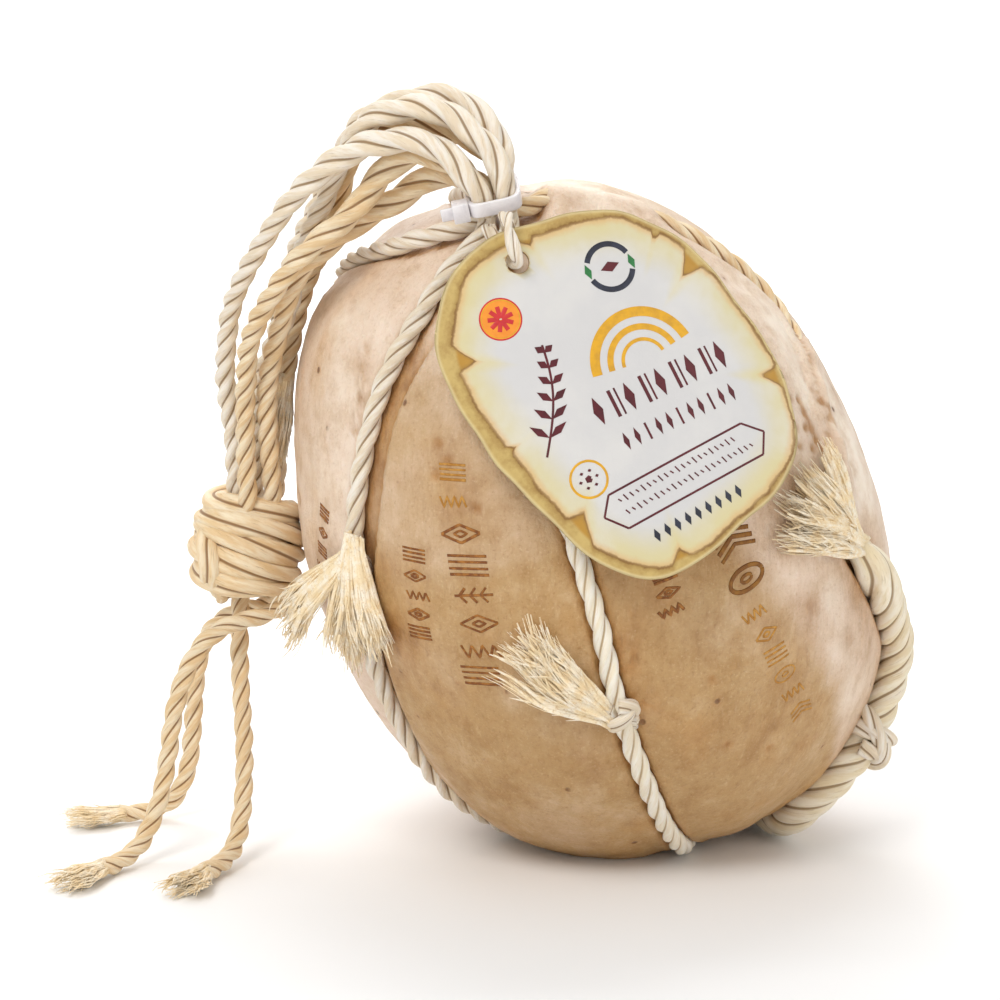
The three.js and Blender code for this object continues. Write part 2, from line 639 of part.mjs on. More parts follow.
const knotTools = ROPE_KNOTS.map((knot) => ropeKnot(knot, GAP));
const underCentre = onSkin(0, -90, -UNDER_KNOT.sunk);
const underKnot = (extra) =>
  ellipsoid(underCentre, GATHER_AXIS, UNDER_KNOT.across + extra, UNDER_KNOT.along + extra, 12, 8);

piece("cheese_body", cut(cheese(), ...knotTools, underKnot(GAP)), ...RIND);
HARNESS.forEach(({ name }, rope) => piece(name, harnessRope(rope), ...RAFFIA));
piece("rope_right_double", cord(doubleRope, DOUBLE_RADIUS), ...RAFFIA);
piece("knot_under", underKnot(0), ...RAFFIA);
ROPE_KNOTS.forEach((knot) => piece(knot.name, cut(ropeKnot(knot), ropeCore(knot)), ...RAFFIA));
BRUSHES.forEach((spec) => piece(spec.name, brush(spec), ...RAFFIA));
piece("cable_tie", tieBand(), ...PLASTIC);
STRANDS.forEach((strand) => piece(strand.name, cord(strandPoints(strand)), ...RAFFIA));
piece("strand_back_tuft", tuft(STRANDS.at(-1).route, BACK_TUFT), ...RAFFIA);
piece("knot_hanging", bigKnot(), ...RAFFIA);
Object.entries(TAILS).forEach(([name, rows]) => {
  piece(name, cord(rows), ...RAFFIA);
  piece(`${name}_tuft`, tuft(rows, TAIL_TUFT), ...RAFFIA);
});
piece("tag_card", tagCard(), ...CARD);
piece("tag_loop", cord(loopPoints(), LOOP_RADIUS), ...RAFFIA);

export default group;
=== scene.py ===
"""A whole provolone in its rope harness, with its hanging bundle, big knot, frayed ends and bent card tag.

Shapes are worked out in millimetres, +Z up and the front towards -Y, and brought to metres as each piece is made.
"""
import math
import random

import bmesh
import bpy
import numpy as np
from mathutils import Matrix, Vector, kdtree, noise
from mathutils.bvhtree import BVHTree


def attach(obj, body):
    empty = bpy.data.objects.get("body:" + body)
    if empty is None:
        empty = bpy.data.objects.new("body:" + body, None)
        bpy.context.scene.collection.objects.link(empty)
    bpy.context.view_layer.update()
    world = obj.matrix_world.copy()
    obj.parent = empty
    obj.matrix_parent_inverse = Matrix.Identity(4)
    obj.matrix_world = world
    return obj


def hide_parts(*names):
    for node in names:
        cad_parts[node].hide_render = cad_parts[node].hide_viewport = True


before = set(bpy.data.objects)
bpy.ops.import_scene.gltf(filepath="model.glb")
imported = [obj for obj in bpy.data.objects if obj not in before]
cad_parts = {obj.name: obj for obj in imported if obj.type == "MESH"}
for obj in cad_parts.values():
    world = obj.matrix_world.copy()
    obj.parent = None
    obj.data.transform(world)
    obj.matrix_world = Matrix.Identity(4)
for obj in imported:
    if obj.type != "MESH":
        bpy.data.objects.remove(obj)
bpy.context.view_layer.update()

MM = 0.001
TAU = 2 * math.pi

# ---- Camera, floor and light ---------------------------------------------------------------------

CAMERA_TARGET = Vector((-0.0385, -0.0035, 0.1106))
CAMERA_RISE = math.radians(10)
CAMERA_DISTANCE = 1.0
FOCAL = 112.5  # on a 36 mm square of film


def put_in_scene(name, data):
    thing = bpy.data.objects.new(name, data)
    bpy.context.scene.collection.objects.link(thing)
    return thing


def place_camera():
    data = bpy.data.cameras.new("camera")
    data.sensor_width = 36
    data.sensor_fit = "HORIZONTAL"
    data.lens = FOCAL
    camera = put_in_scene("camera", data)
    away = Vector((0, -math.cos(CAMERA_RISE), math.sin(CAMERA_RISE)))
    camera.location = CAMERA_TARGET + away * CAMERA_DISTANCE
    camera.rotation_euler = (math.pi / 2 - CAMERA_RISE, 0, 0)
    bpy.context.scene.camera = camera


def soft_light(name, place, target, size, watts, colour=(1, 1, 1)):
    data = bpy.data.lights.new(name, "AREA")
    data.shape = "DISK"
    data.size = size
    data.energy = watts
    data.color = colour
    light = put_in_scene(name, data)
    light.location = place
    light.rotation_euler = (Vector(target) - Vector(place)).to_track_quat("-Z", "Y").to_euler()


def light_the_set():
    world = bpy.data.worlds.new("studio")
    bpy.context.scene.world = world
    world.use_nodes = True
    sky = world.node_tree.nodes["Background"]
    sky.inputs["Color"].default_value = (0.97, 0.985, 1.0, 1)
    sky.inputs["Strength"].default_value = 0.62
    middle = (-0.02, 0, 0.11)
    soft_light("key", (-0.55, -1.0, 1.25), middle, 0.7, 10.5, (1.0, 0.98, 0.95))
    soft_light("fill", (1.1, -0.9, 0.6), middle, 1.2, 3, (1.0, 0.97, 0.93))
    soft_light("back", (-0.3, 1.1, 0.9), middle, 1.0, 5)
    soft_light("wash", (0, 1.0, 2.2), (0, 3.2, 0.4), 1.6, 60)
    bpy.context.scene.view_settings.view_transform = "Standard"


# ---- Shapes of the cheese ------------------------------------------------------------------------


def unit(v):
    v = np.asarray(v, float)
    return v / np.linalg.norm(v, axis=-1, keepdims=True)


def leaning(lean, bearing):
    """A unit vector that leans from upright, its bearing counted from the front to the left."""
    lean, bearing = math.radians(lean), math.radians(bearing)
    return np.array([-math.sin(lean) * math.sin(bearing), -math.sin(lean) * math.cos(bearing), math.cos(lean)])


def square_to(v, axis):
    return unit(v - axis * np.dot(v, axis))


def smoothstep(x, low, high):
    t = np.clip((x - low) / (high - low), 0, 1)
    return t * t * (3 - 2 * t)


def between(x, start, full, fade, end):
    """Nothing up to start and past end, 1 from full to fade, and smooth steps between them."""
    return smoothstep(x, start, full) * smoothstep(-x, -end, -fade)


def hump(x, width):
    """A soft round hump that is 1 at nought."""
    return np.exp(-((x / width) ** 2))


BODY_CENTRE = np.array([-7.3, -3.5, 97.6])
BODY_AXIS = leaning(26.2, 64.7)
BODY_UP, BODY_DOWN, BODY_RADIUS, BODY_POWER = 119.5, 105, 89.5, 2.17
# Broad swellings of the form: azimuth, latitude, spread in degrees and height.
SWELLS = [(-124, 56, 17, 4.6), (-92, 45, 18, -3)]
GATHER_AXIS = leaning(29.6, 36)
FRONT = square_to(np.array([0, -math.cos(CAMERA_RISE), math.sin(CAMERA_RISE)]), GATHER_AXIS)
SIDE = np.cross(GATHER_AXIS, FRONT)
VALLEY_DEPTH, VALLEY_WIDTH, CROWN_LATITUDE = 3, 12, 82
RIND_REACH = 100  # about how far the rind is from the body's centre, for distances along it

ROPE_RADIUS, DOUBLE_RADIUS, LOOP_RADIUS = 3.1, 6.1, 2.1
ROPE_PROUD, CROWN_LIFT, DOUBLE_LIFT, ROPE_FLOOR = 1.2, 2.9, 3, 3.6
DOUBLE_FROM, ROPE_END, DOUBLE_END = -3, -84, -79
# Each rope's slot in the tie, and its [latitude, azimuth] from the crown to the base.
HARNESS = {
    "rope_left": ((-1, 0), [[84, -100], [75, -117], [68, -126], [60, -133], [50, -139], [20, -141], [-40, -133],
                            [-84, -124]]),
    "rope_left_front": ((-1, -1), [[84, -42], [77, -52], [70, -58], [62, -62], [50, -63], [30, -64], [-40, -63],
                                   [-84, -60]]),
    "rope_centre": ((1, -1), [[84, -6], [55, -6.5], [20, -7], [0, -8.5], [-40, -8], [-84, -4]]),
    "rope_right": ((1, 0), [[84, 108], [72, 104], [64, 102], [57, 99.5], [51, 97.5], [44.5, 97], [39, 95],
                            [34.5, 89.5], [32, 83.5], [29.5, 78], [26, 72], [20, 65.5], [11, 59], [1, 54], [-5, 55],
                            [-13, 57.5], [-25, 61], [-31, 62], [-36, 58], [-40, 52], [-45, 43], [-51, 31],
                            [-60, 27], [-70, 34], [-84, 60]]),
    "rope_back_right": ((1, 1), [[84, 150], [72, 166], [62, 171], [52, 169], [40, 159], [20, 142], [-20, 128],
                                 [-84, 120]]),
    "rope_back": ((-1, 1), [[84, 190], [70, 186], [55, 183], [20, 180], [-84, 180]]),
}


def direction(azimuth, latitude):
    turn, up = np.radians(azimuth)[..., None], np.radians(latitude)[..., None]
    return np.cos(up) * np.sin(turn) * SIDE + np.cos(up) * np.cos(turn) * FRONT + np.sin(up) * GATHER_AXIS


def bearings(way):
    """Azimuth and latitude of directions."""
    up = np.clip(way @ GATHER_AXIS, -1, 1)
    return np.degrees(np.arctan2(way @ SIDE, way @ FRONT)), np.degrees(np.arcsin(up))


def form_radius(way):
    along = way @ BODY_AXIS
    across = np.sqrt(np.clip(1 - along**2, 0, None))
    reach = np.where(along > 0, BODY_UP, BODY_DOWN)
    total = (across / BODY_RADIUS) ** BODY_POWER + (np.abs(along) / reach) ** BODY_POWER
    return total ** (-1 / BODY_POWER)


def degrees_from(way, azimuth, latitude):
    """How far directions are from the direction at an azimuth and latitude."""
    return np.degrees(np.arccos(np.clip(way @ direction(azimuth, latitude), -1, 1)))


def patches(way, rows):
    """The sum of soft round patches, each given by azimuth, latitude, spread in degrees and strength."""
    return sum(strength * hump(degrees_from(way, azimuth, latitude), spread)
               for azimuth, latitude, spread, strength in rows)


def azimuth_at(route, latitude):
    """A smooth curve through the route's rows, which run downwards."""
    rows = np.array(route, float)
    lat = np.clip(latitude, rows[-1, 0], rows[0, 0])
    last = len(rows) - 1
    i = np.clip(np.searchsorted(-rows[:, 0], -lat, side="left") - 1, 0, last - 1)
    before, after = rows[np.maximum(np.arange(last + 1) - 1, 0)], rows[np.minimum(np.arange(last + 1) + 1, last)]
    slope = (after[:, 1] - before[:, 1]) / (after[:, 0] - before[:, 0])
    span = rows[i + 1, 0] - rows[i, 0]
    t = (lat - rows[i, 0]) / span
    ease = smoothstep(t, 0, 1)
    level = rows[i, 1] * (1 - ease) + rows[i + 1, 1] * ease
    return level + span * (t * (1 - t) ** 2 * slope[i] - t * t * (1 - t) * slope[i + 1])


def arc(start, end, latitude):
    """Millimetres along a circle of latitude, the short way round."""
    turn = (end - start + 540) % 360 - 180
    return np.radians(turn) * RIND_REACH * np.cos(np.radians(latitude))


def from_rope(name, azimuth, latitude):
    """Millimetres along the rind from a rope, counted to its right."""
    return arc(azimuth_at(HARNESS[name][1], latitude), azimuth, latitude)


def skin_radius(azimuth, latitude):
    fade = smoothstep(np.abs(latitude), 58, 84)
    valley = np.max([hump(from_rope(name, azimuth, latitude), VALLEY_WIDTH) for name in HARNESS], axis=0)
    way = direction(azimuth, latitude)
    return form_radius(way) + patches(way, SWELLS) - VALLEY_DEPTH * (1 - fade) * valley


def on_skin(azimuth, latitude, height=0.0):
    reach = skin_radius(azimuth, latitude) + height
    return BODY_CENTRE + direction(azimuth, latitude) * reach[..., None]


def crown_lift(latitude):
    """How far the ropes rise off the rind on their way up to the tie."""
    return CROWN_LIFT * smoothstep(latitude, 70, CROWN_LATITUDE)


def floor_reach(way, height):
    down = way[..., 2]
    return np.where(down < 0, (BODY_CENTRE[2] - height) / np.where(down < 0, -down, 1), np.inf)


def rope_line(name, latitudes, height=0):
    """Centre of a harness rope at some latitudes."""
    lat = np.asarray(latitudes, float)
    azimuth = azimuth_at(HARNESS[name][1], lat)
    double = (name == "rope_right") & (lat < DOUBLE_FROM)
    extra = np.where(double, DOUBLE_RADIUS - ROPE_RADIUS, 0)
    lift = ROPE_PROUD + extra + crown_lift(lat)
    lift = lift + np.where(double, DOUBLE_LIFT * smoothstep(-lat, 20, 32), 0)
    way = direction(azimuth, lat)
    reach = np.minimum(skin_radius(azimuth, lat) + lift, floor_reach(way, ROPE_FLOOR + extra))
    return BODY_CENTRE + way * (reach + height)[..., None]


def rope_run(name, start, end, step=6):
    count = max(2, round(abs(end - start) / step))
    return rope_line(name, np.linspace(start, end, count + 1))


# The tie, its slots and its two rows of three ropes.
TIE_CENTRE = np.array([-40, -54, 209.5])
TIE_AXIS = leaning(20, 36)
TIE_DEEP = square_to(np.array([0, 1, 0]), TIE_AXIS)
TIE_ACROSS = np.cross(TIE_DEEP, TIE_AXIS)
TIE_HEIGHT, TIE_WALL, SLOT_PITCH = 4.4, 1.3, 6.8
TIE_GAP = 0.4  # between the outer ropes and the band
TIE_RIDE = 2.8  # the band sits this far up the ropes from the middle of its slots


def in_tie(across, deep, height):
    return TIE_CENTRE + across * TIE_ACROSS + deep * TIE_DEEP + height * TIE_AXIS


def slot_point(slot, height):
    return in_tie(slot[0] * SLOT_PITCH / 2, slot[1] * SLOT_PITCH, height)


STRANDS = {
    "strand_outer": ((1, 0), [
        [-37.5, -53.5, 220], [-39, -52, 227], [-42, -50.5, 233], [-46, -48.5, 237], [-51, -47, 239.7],
        [-57, -45.5, 241], [-64, -44, 240], [-71, -42, 238], [-77, -40, 235], [-82, -37, 231], [-85, -34, 225],
        [-89, -30, 218], [-94, -25, 208], [-99, -20, 198], [-103, -15, 189], [-107, -6, 178], [-109, 0, 169],
        [-110, 6, 159], [-111, 10, 148], [-111, 11, 138], [-111, 11, 126], [-111.5, 10, 111.5]]),
    "strand_second": ((1, -1), [
        [-38, -61, 219], [-42, -59.5, 226], [-47.5, -57.5, 231.5], [-54, -55, 236], [-62, -52.5, 238],
        [-69, -50.5, 237], [-76, -49, 235], [-80, -46.5, 231], [-84, -43, 225], [-88, -39, 218], [-92, -35, 209],
        [-96, -31, 201], [-99, -26, 193], [-102, -22, 183], [-105, -18, 173], [-109, -14, 163], [-113, -9.5, 153],
        [-115.5, -5, 143], [-116.5, 0, 129], [-117.5, 4, 114]]),
    "strand_low": ((-1, -1), [
        [-47, -62, 216], [-51, -61, 221.5], [-56, -59.5, 225.5], [-61, -58, 228], [-67, -56.5, 228.5],
        [-73, -55, 228], [-78, -53, 227], [-84, -50, 224], [-89, -48, 221], [-95, -45, 216], [-101, -41, 210],
        [-107, -37, 202], [-113, -32, 193], [-118, -27, 184], [-122, -22, 174], [-124, -18, 164], [-125, -13, 153],
        [-124.5, -9, 143], [-123.5, -6, 133], [-123, -5, 123], [-122.5, -4, 113.2]]),
    "strand_front": ((-1, 0), [
        [-47, -54, 216.5], [-51.5, -52.5, 220.5], [-57, -50.8, 223.5], [-63, -49, 224.5], [-69, -47, 222],
        [-74, -45, 217.5], [-79, -43.5, 211.5], [-83, -44, 206], [-89, -45, 201], [-95, -45, 196], [-101, -43, 190],
        [-107, -39, 182], [-112, -34, 174], [-116, -28, 164], [-117.5, -23, 154], [-118.5, -19, 145],
        [-118.5, -16.5, 135], [-118.5, -15, 125], [-118.5, -13.5, 112]]),
    "strand_inner": ((-1, 1), [
        [-49, -46.5, 217], [-54, -44.5, 217.5], [-59, -42.5, 216.8], [-62.5, -41, 214.8], [-67, -38.5, 211.5],
        [-74, -36, 207], [-81, -35, 203], [-89, -36, 197], [-94, -36, 193], [-99, -35, 188], [-103, -32, 180],
        [-106, -27, 171], [-109, -22, 161], [-111, -18, 151], [-111.7, -15.8, 140], [-111.7, -14, 131],
        [-111, -12.4, 121], [-111, -10.5, 112.2]]),
    "strand_back": ((1, 1), [
        [-38.5, -46.5, 220.5], [-41, -45, 224.5], [-45.5, -43.5, 227.5], [-51, -42, 229.8], [-57.5, -40.5, 231.3],
        [-65, -38.5, 232], [-72, -36, 231.5], [-78, -31.2, 228.5], [-82.3, -27.3, 224.5], [-85, -25, 220],
        [-87, -22, 213], [-89, -19, 205], [-92, -15, 197], [-96, -10, 189], [-99.8, -7.5, 180],
        [-102.8, -6, 170], [-105, -5.5, 160], [-106.6, -5.5, 150]]),
}
TAILS = {
    "tail_front": [[-122, -5, 76.5], [-122.5, -5, 68], [-122, -8, 56], [-121, -14, 43], [-120, -22, 29],
                   [-120, -30, 16], [-122, -39, 6.5], [-125.5, -49, 3.6], [-130, -60, 3.6]],
    "tail_left": [[-105.5, -5.5, 79], [-110.5, -10, 75.8], [-117, -13, 74], [-125, -15.5, 72], [-132.5, -17.5, 67],
                  [-138.5, -19.5, 57.5], [-142, -22, 45], [-144, -25.5, 31], [-147, -31, 17], [-151.5, -38, 7],
                  [-157, -46, 3.6], [-163, -55, 3.6]],
    "tail_back": [[-111, 4, 76.5], [-116, 7.5, 74], [-124, 10, 71.5], [-131.5, 11.5, 66.5], [-136.5, 13, 57],
                  [-139, 14, 44], [-140, 14.5, 30], [-142, 14.5, 16.5], [-147, 13.5, 7], [-155, 11, 3.6],
                  [-164, 8, 3.6]],
}
LOOP_SLOT = (0.76, -2)
LOOP_ROUTE = [[-37, -74, 206.8], [-36.8, -80, 207.7], [-36, -85, 205.2], [-34.8, -87.4, 200.4],
              [-33.7, -87, 196.4], [-33.5, -82, 194.6], [-34.2, -77.5, 193.8], [-36.4, -75, 196],
              [-39.8, -72.8, 200], [-42.2, -69.8, 203.2]]

# ---- Lines, tubes and pieces ---------------------------------------------------------------------

UV_LENGTH = 10  # millimetres of a rope to one turn of its UV map
SHARP = 0.9  # radians between two faces whose edge is eased


def evenly(line, step):
    """Points an even step apart along a line of short straight parts."""
    along = np.concatenate([[0], np.cumsum(np.linalg.norm(np.diff(line, axis=0), axis=1))])
    wanted = np.linspace(0, along[-1], max(3, round(along[-1] / step) + 1))
    return np.stack([np.interp(wanted, along, column) for column in line.T], 1)


def smooth(rows, step=1.0):
    """Points an even step apart on a centripetal curve through the rows."""
    p = np.asarray(rows, float)
    p = np.vstack([2 * p[0] - p[1], p, 2 * p[-1] - p[-2]])
    gaps = np.linalg.norm(np.diff(p, axis=0), axis=1) ** 0.5
    t = np.linspace(0, 1, 25)[:-1, None]
    parts = []
    for i in range(1, len(p) - 2):
        a, b, c = gaps[i - 1], gaps[i], gaps[i + 1]
        leave = ((p[i] - p[i - 1]) / a - (p[i + 1] - p[i - 1]) / (a + b) + (p[i + 1] - p[i]) / b) * b
        reach = ((p[i + 1] - p[i]) / b - (p[i + 2] - p[i]) / (b + c) + (p[i + 2] - p[i + 1]) / c) * b
        parts.append(p[i] * (2 * t**3 - 3 * t**2 + 1) + leave * (t**3 - 2 * t**2 + t)
                     + p[i + 1] * (3 * t**2 - 2 * t**3) + reach * (t**3 - t**2))
    return evenly(np.vstack([*parts, p[-2]]), step)


def length_of(line):
    return float(np.linalg.norm(np.diff(line, axis=0), axis=1).sum())


def frames(line):
    """Normal and binormal at each point, turning as little as they can."""
    tangent = unit(np.gradient(line, axis=0))
    seed = np.array([0.3, -1, 0.2]) if abs(tangent[0][1]) < 0.8 else np.array([1, 0.2, 0.3])
    normal = [square_to(seed, tangent[0])]
    for k in range(1, len(line)):
        normal.append(square_to(normal[-1], tangent[k]))
    return np.array(normal), np.cross(tangent, normal)


def finish_mesh(bm, name, material, shade=True):
    """The bmesh, in millimetres, becomes a piece of the object in metres, its faces pointing outwards."""
    mesh = bpy.data.meshes.new(name)
    bmesh.ops.recalc_face_normals(bm, faces=bm.faces)
    bmesh.ops.scale(bm, vec=(MM, MM, MM), verts=bm.verts)
    bm.to_mesh(mesh)
    bm.free()
    mesh.polygons.foreach_set("use_smooth", [shade] * len(mesh.polygons))
    mesh.materials.append(material)
    return put_in_scene(name, mesh)


def add(piece, slot, *nodes):
    """The piece rides on the cheese and stands for its plain solids."""
    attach(piece, "root")
    if nodes:
        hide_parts(*nodes)
    return piece


def evaluated_mesh(thing):
    """What a curve or a modifier comes to, as a mesh of its own."""
    bpy.context.view_layer.update()
    return bpy.data.meshes.new_from_object(thing.evaluated_get(bpy.context.evaluated_depsgraph_get()))


def places(verts):
    return np.array([v.co for v in verts], float)


def move_to(verts, points):
    for vert, point in zip(verts, points):
        vert.co = point


def rolled(line, sides, section, turn=0.0, into=None, axes=None):
    """A sheet rolled into a closed tube along a line. section(along, around) is its radius; around is 0 to 1."""
    bm = into or bmesh.new()
    uv = bm.loops.layers.uv.verify()
    old_faces, last, total = len(bm.faces), len(line) - 1, length_of(line)
    made = bmesh.ops.create_grid(bm, x_segments=last, y_segments=sides, size=1, calc_uvs=True)["verts"]
    flat = (places(made) + 1) / 2
    ring, around = np.rint(flat[:, 0] * last).astype(int), flat[:, 1]
    normal, binormal = axes or frames(line)
    angle = TAU * around + np.broadcast_to(turn, len(line))[ring]
    reach = section(ring / last * total, around)[:, None]
    out = np.cos(angle)[:, None] * normal[ring] + np.sin(angle)[:, None] * binormal[ring]
    move_to(made, line[ring] + reach * out)
    bm.faces.ensure_lookup_table()
    for face in bm.faces[old_faces:]:
        for loop in face.loops:
            loop[uv].uv.x *= total / UV_LENGTH
    bmesh.ops.remove_doubles(bm, verts=made, dist=0.001)
    bmesh.ops.holes_fill(bm, edges=[e for e in bm.edges if e.is_boundary], sides=0)
    return bm


def laid_section(radius, plies, wobble):
    """Plies of a little uneven thickness, with a cusp between each two."""
    bulge, offset = 0.545, 0.455  # a ply's own radius, and how far out its centre lies

    def section(along, around):
        ply = np.floor(around * plies + 1e-6) % plies
        across = (around * plies) % 1 - 0.5
        off = across * TAU / plies
        lobe = offset * np.cos(off) + np.sqrt(np.clip(bulge**2 - (offset * np.sin(off)) ** 2, 0, None))
        uneven = 0.045 * np.sin(along / 9.7 + 2.1 * ply + wobble) + 0.02 * np.sin(along / 3.1 + 4 * ply)
        uneven = 1 + uneven * (1 - (2 * across) ** 2)
        slim = 1 + 0.025 * np.sin(along / 14 + wobble)
        return radius * lobe * uneven * slim

    return section


def even(along):
    return np.ones_like(along)


def laid_rope(line, radius, pitch, plies=3, sides=27, wobble=0.0, into=None, thickness=even):
    """A rope of twisted plies, as a tube along a line. Its pitch may be a function of the way along it."""
    total, last = length_of(line), len(line) - 1
    pitch = pitch(np.linspace(0, total, last + 1)) if callable(pitch) else pitch
    turn = np.cumsum(np.broadcast_to(TAU * (total / last) / pitch, last + 1)) + wobble
    plain = laid_section(radius, plies, wobble)
    return rolled(line, sides, lambda along, around: plain(along, around) * thickness(along), turn, into)


# ---- Materials -----------------------------------------------------------------------------------


class Nodes:
    """A little bench for wiring one material or group."""

    def __init__(self, tree):
        self.tree = tree

    def new(self, kind, **inputs):
        node = self.tree.nodes.new(kind)
        for key, value in inputs.items():
            if key.startswith("set_"):
                setattr(node, key[4:], value)
        for key, value in inputs.items():
            if not key.startswith("set_"):
                self.plug(node, key.replace("_", " "), value)
        return node

    def plug(self, node, name, value):
        socket = node.inputs[int(name[2:])] if name.startswith("in") and name[2:].isdigit() else node.inputs[name]
        if isinstance(value, bpy.types.NodeSocket):
            self.tree.links.new(value, socket)
        else:
            socket.default_value = value

    def maths(self, operation, a, b=0.0, c=0.0, clamp=False):
        node = self.new("ShaderNodeMath", set_operation=operation, set_use_clamp=clamp, in0=a, in1=b, in2=c)
        return node.outputs[0]

    def ramp(self, value, low, high, start=0.0, end=1.0):
        return self.new("ShaderNodeMapRange", set_interpolation_type="SMOOTHSTEP", Value=value, From_Min=low,
                        From_Max=high, To_Min=start, To_Max=end).outputs[0]

    def mix(self, factor, a, b, blend="MIX"):
        return self.new("ShaderNodeMix", set_data_type="RGBA", set_blend_type=blend, in0=factor, in6=a,
                        in7=b).outputs[2]

    def washes(self, colour, *rows):
        """Washes laid over a colour. Each row: field, its low and high, the most that shows, tint and blend."""
        for field, low, high, most, tint, *blend in rows:
            colour = self.mix(self.ramp(field, low, high, 0.0, most), colour, tint, *blend)
        return colour

    def sum_of(self, *shares):
        """The sum of fields, each times its share."""
        total = None
        for field, share in shares:
            part = self.maths("MULTIPLY", field, share)
            total = part if total is None else self.maths("ADD", total, part)
        return total

    def place(self, kind="Object"):
        return self.new("ShaderNodeTexCoord").outputs[kind]

    def layer(self, name):
        """One of the piece's own attributes."""
        return self.new("ShaderNodeAttribute", set_attribute_name=name).outputs["Fac"]

    def clouds(self, scale, first, second, low=0.35, high=0.7, detail=3.0):
        """Cloudy noise, and a colour that wanders with it between two."""
        cloud = self.noise(self.place(), scale, detail)
        return cloud, self.mix(self.ramp(cloud, low, high), first, second)

    def noise(self, vector, scale, detail=3.0, rough=0.55, squash=(1, 1, 1), turn=(0, 0, 0)):
        mapped = self.new("ShaderNodeMapping", Vector=vector, Rotation=turn, Scale=squash).outputs[0]
        node = self.new("ShaderNodeTexNoise", Vector=mapped, Scale=scale, Detail=detail, Roughness=rough)
        return node.outputs[0]


def rgb(red, green, blue):
    """A colour given in 0 to 255 display values."""
    return tuple(((c / 255 + 0.055) / 1.055) ** 2.4 if c > 10 else c / 3294 for c in (red, green, blue)) + (1.0,)


def group(name, inputs, outputs, wire):
    """A node group. wire(bench, given) gives a dict of what feeds its outputs."""
    tree = bpy.data.node_groups.new(name, "ShaderNodeTree")
    for label, kind in inputs:
        tree.interface.new_socket(name=label, in_out="INPUT", socket_type=kind)
    for label in outputs:
        tree.interface.new_socket(name=label, in_out="OUTPUT", socket_type="NodeSocketFloat")
    source, sink = tree.nodes.new("NodeGroupInput"), tree.nodes.new("NodeGroupOutput")
    for label, value in wire(Nodes(tree), source.outputs).items():
        tree.links.new(value, sink.inputs[label])
    return tree


def shader(name, roughness, build, **constants):
    """A Principled material. build(bench) gives a dict of what feeds its sockets, with Height for a bump."""
    material = bpy.data.materials.new(name)
    material.use_nodes = True
    bench = Nodes(material.node_tree)
    principled = material.node_tree.nodes["Principled BSDF"]
    principled.inputs["Roughness"].default_value = roughness
    for key, value in constants.items():
        principled.inputs[key.replace("_", " ")].default_value = value
    feeds = build(bench)
    height = feeds.pop("Height", None)
    if height is not None:
        value, distance, strength = height
        bump = bench.new("ShaderNodeBump", Height=value, Distance=distance, Strength=strength)
        feeds["Normal"] = bump.outputs[0]
    for key, value in feeds.items():
        material.node_tree.links.new(value, principled.inputs[key])
    return material


def wire_laid_fibres(bench, given):
    """Fibre lines that run along the plies of a rope, and the dark cusps between plies."""
    split = bench.new("ShaderNodeSeparateXYZ", Vector=given["Place"])
    along, around = split.outputs[0], split.outputs[1]
    turn = bench.maths("MULTIPLY", around, TAU)
    ring = bench.new("ShaderNodeCombineXYZ", X=bench.maths("COSINE", turn), Y=bench.maths("SINE", turn),
                     Z=bench.maths("MULTIPLY", along, 0.22))
    lines = bench.noise(ring.outputs[0], 9.0, 4.0, 0.7)
    hairs = bench.noise(ring.outputs[0], 34.0, 2.0, 0.6)
    patchy = bench.noise(ring.outputs[0], 1.7, 3.0, 0.6, squash=(1, 1, 3))
    wave = bench.maths("COSINE", bench.maths("MULTIPLY", turn, given["Plies"]))
    cusp = bench.ramp(wave, 0.8, 1.0)
    return {"Lines": lines, "Hairs": hairs, "Patches": patchy, "Cusp": cusp,
            "Height": bench.sum_of((lines, 0.7), (hairs, 0.3))}


LAID_FIBRES = group("laid fibres", [("Place", "NodeSocketVector"), ("Plies", "NodeSocketFloat")],
                    ["Lines", "Hairs", "Patches", "Cusp", "Height"], wire_laid_fibres)


def cord_material(name, pale, straw, shade, plies=3.0):
    def build(bench):
        fibres = bench.new("ShaderNodeGroup", set_node_tree=LAID_FIBRES, Place=bench.place("UV"), Plies=plies).outputs
        lines = fibres["Lines"]
        colour = bench.washes(pale, (fibres["Patches"], 0.34, 0.64, 1.0, straw), (lines, 0.56, 0.74, 0.55, shade),
                              (fibres["Hairs"], 0.6, 0.8, 0.35, pale))
        # painted shade in the cusps between plies
        colour = bench.mix(bench.maths("MULTIPLY", fibres["Cusp"], 0.9), colour, shade)
        return {"Base Color": colour, "Roughness": bench.ramp(lines, 0.3, 0.7, 0.6, 0.82),
                "Height": (fibres["Height"], 0.0007, 0.6)}
    return shader(name, 0.7, build, Sheen_Weight=0.15, Subsurface_Weight=0.1,
                  Subsurface_Radius=(0.004, 0.003, 0.0015), Subsurface_Scale=0.6)


def fibre_material():
    def build(bench):
        _, colour = bench.clouds(260.0, rgb(250, 239, 218), rgb(244, 223, 184), 0.36, 0.62, 2.0)
        fine = bench.noise(bench.place(), 1300.0, 2.0)
        # painted shade between the fibres, as fine dark streaks
        colour = bench.washes(colour, (fine, 0.52, 0.76, 0.5, rgb(204, 164, 108)))
        return {"Base Color": colour, "Height": (fine, 0.0002, 0.3)}
    return shader("frayed fibres", 0.8, build)


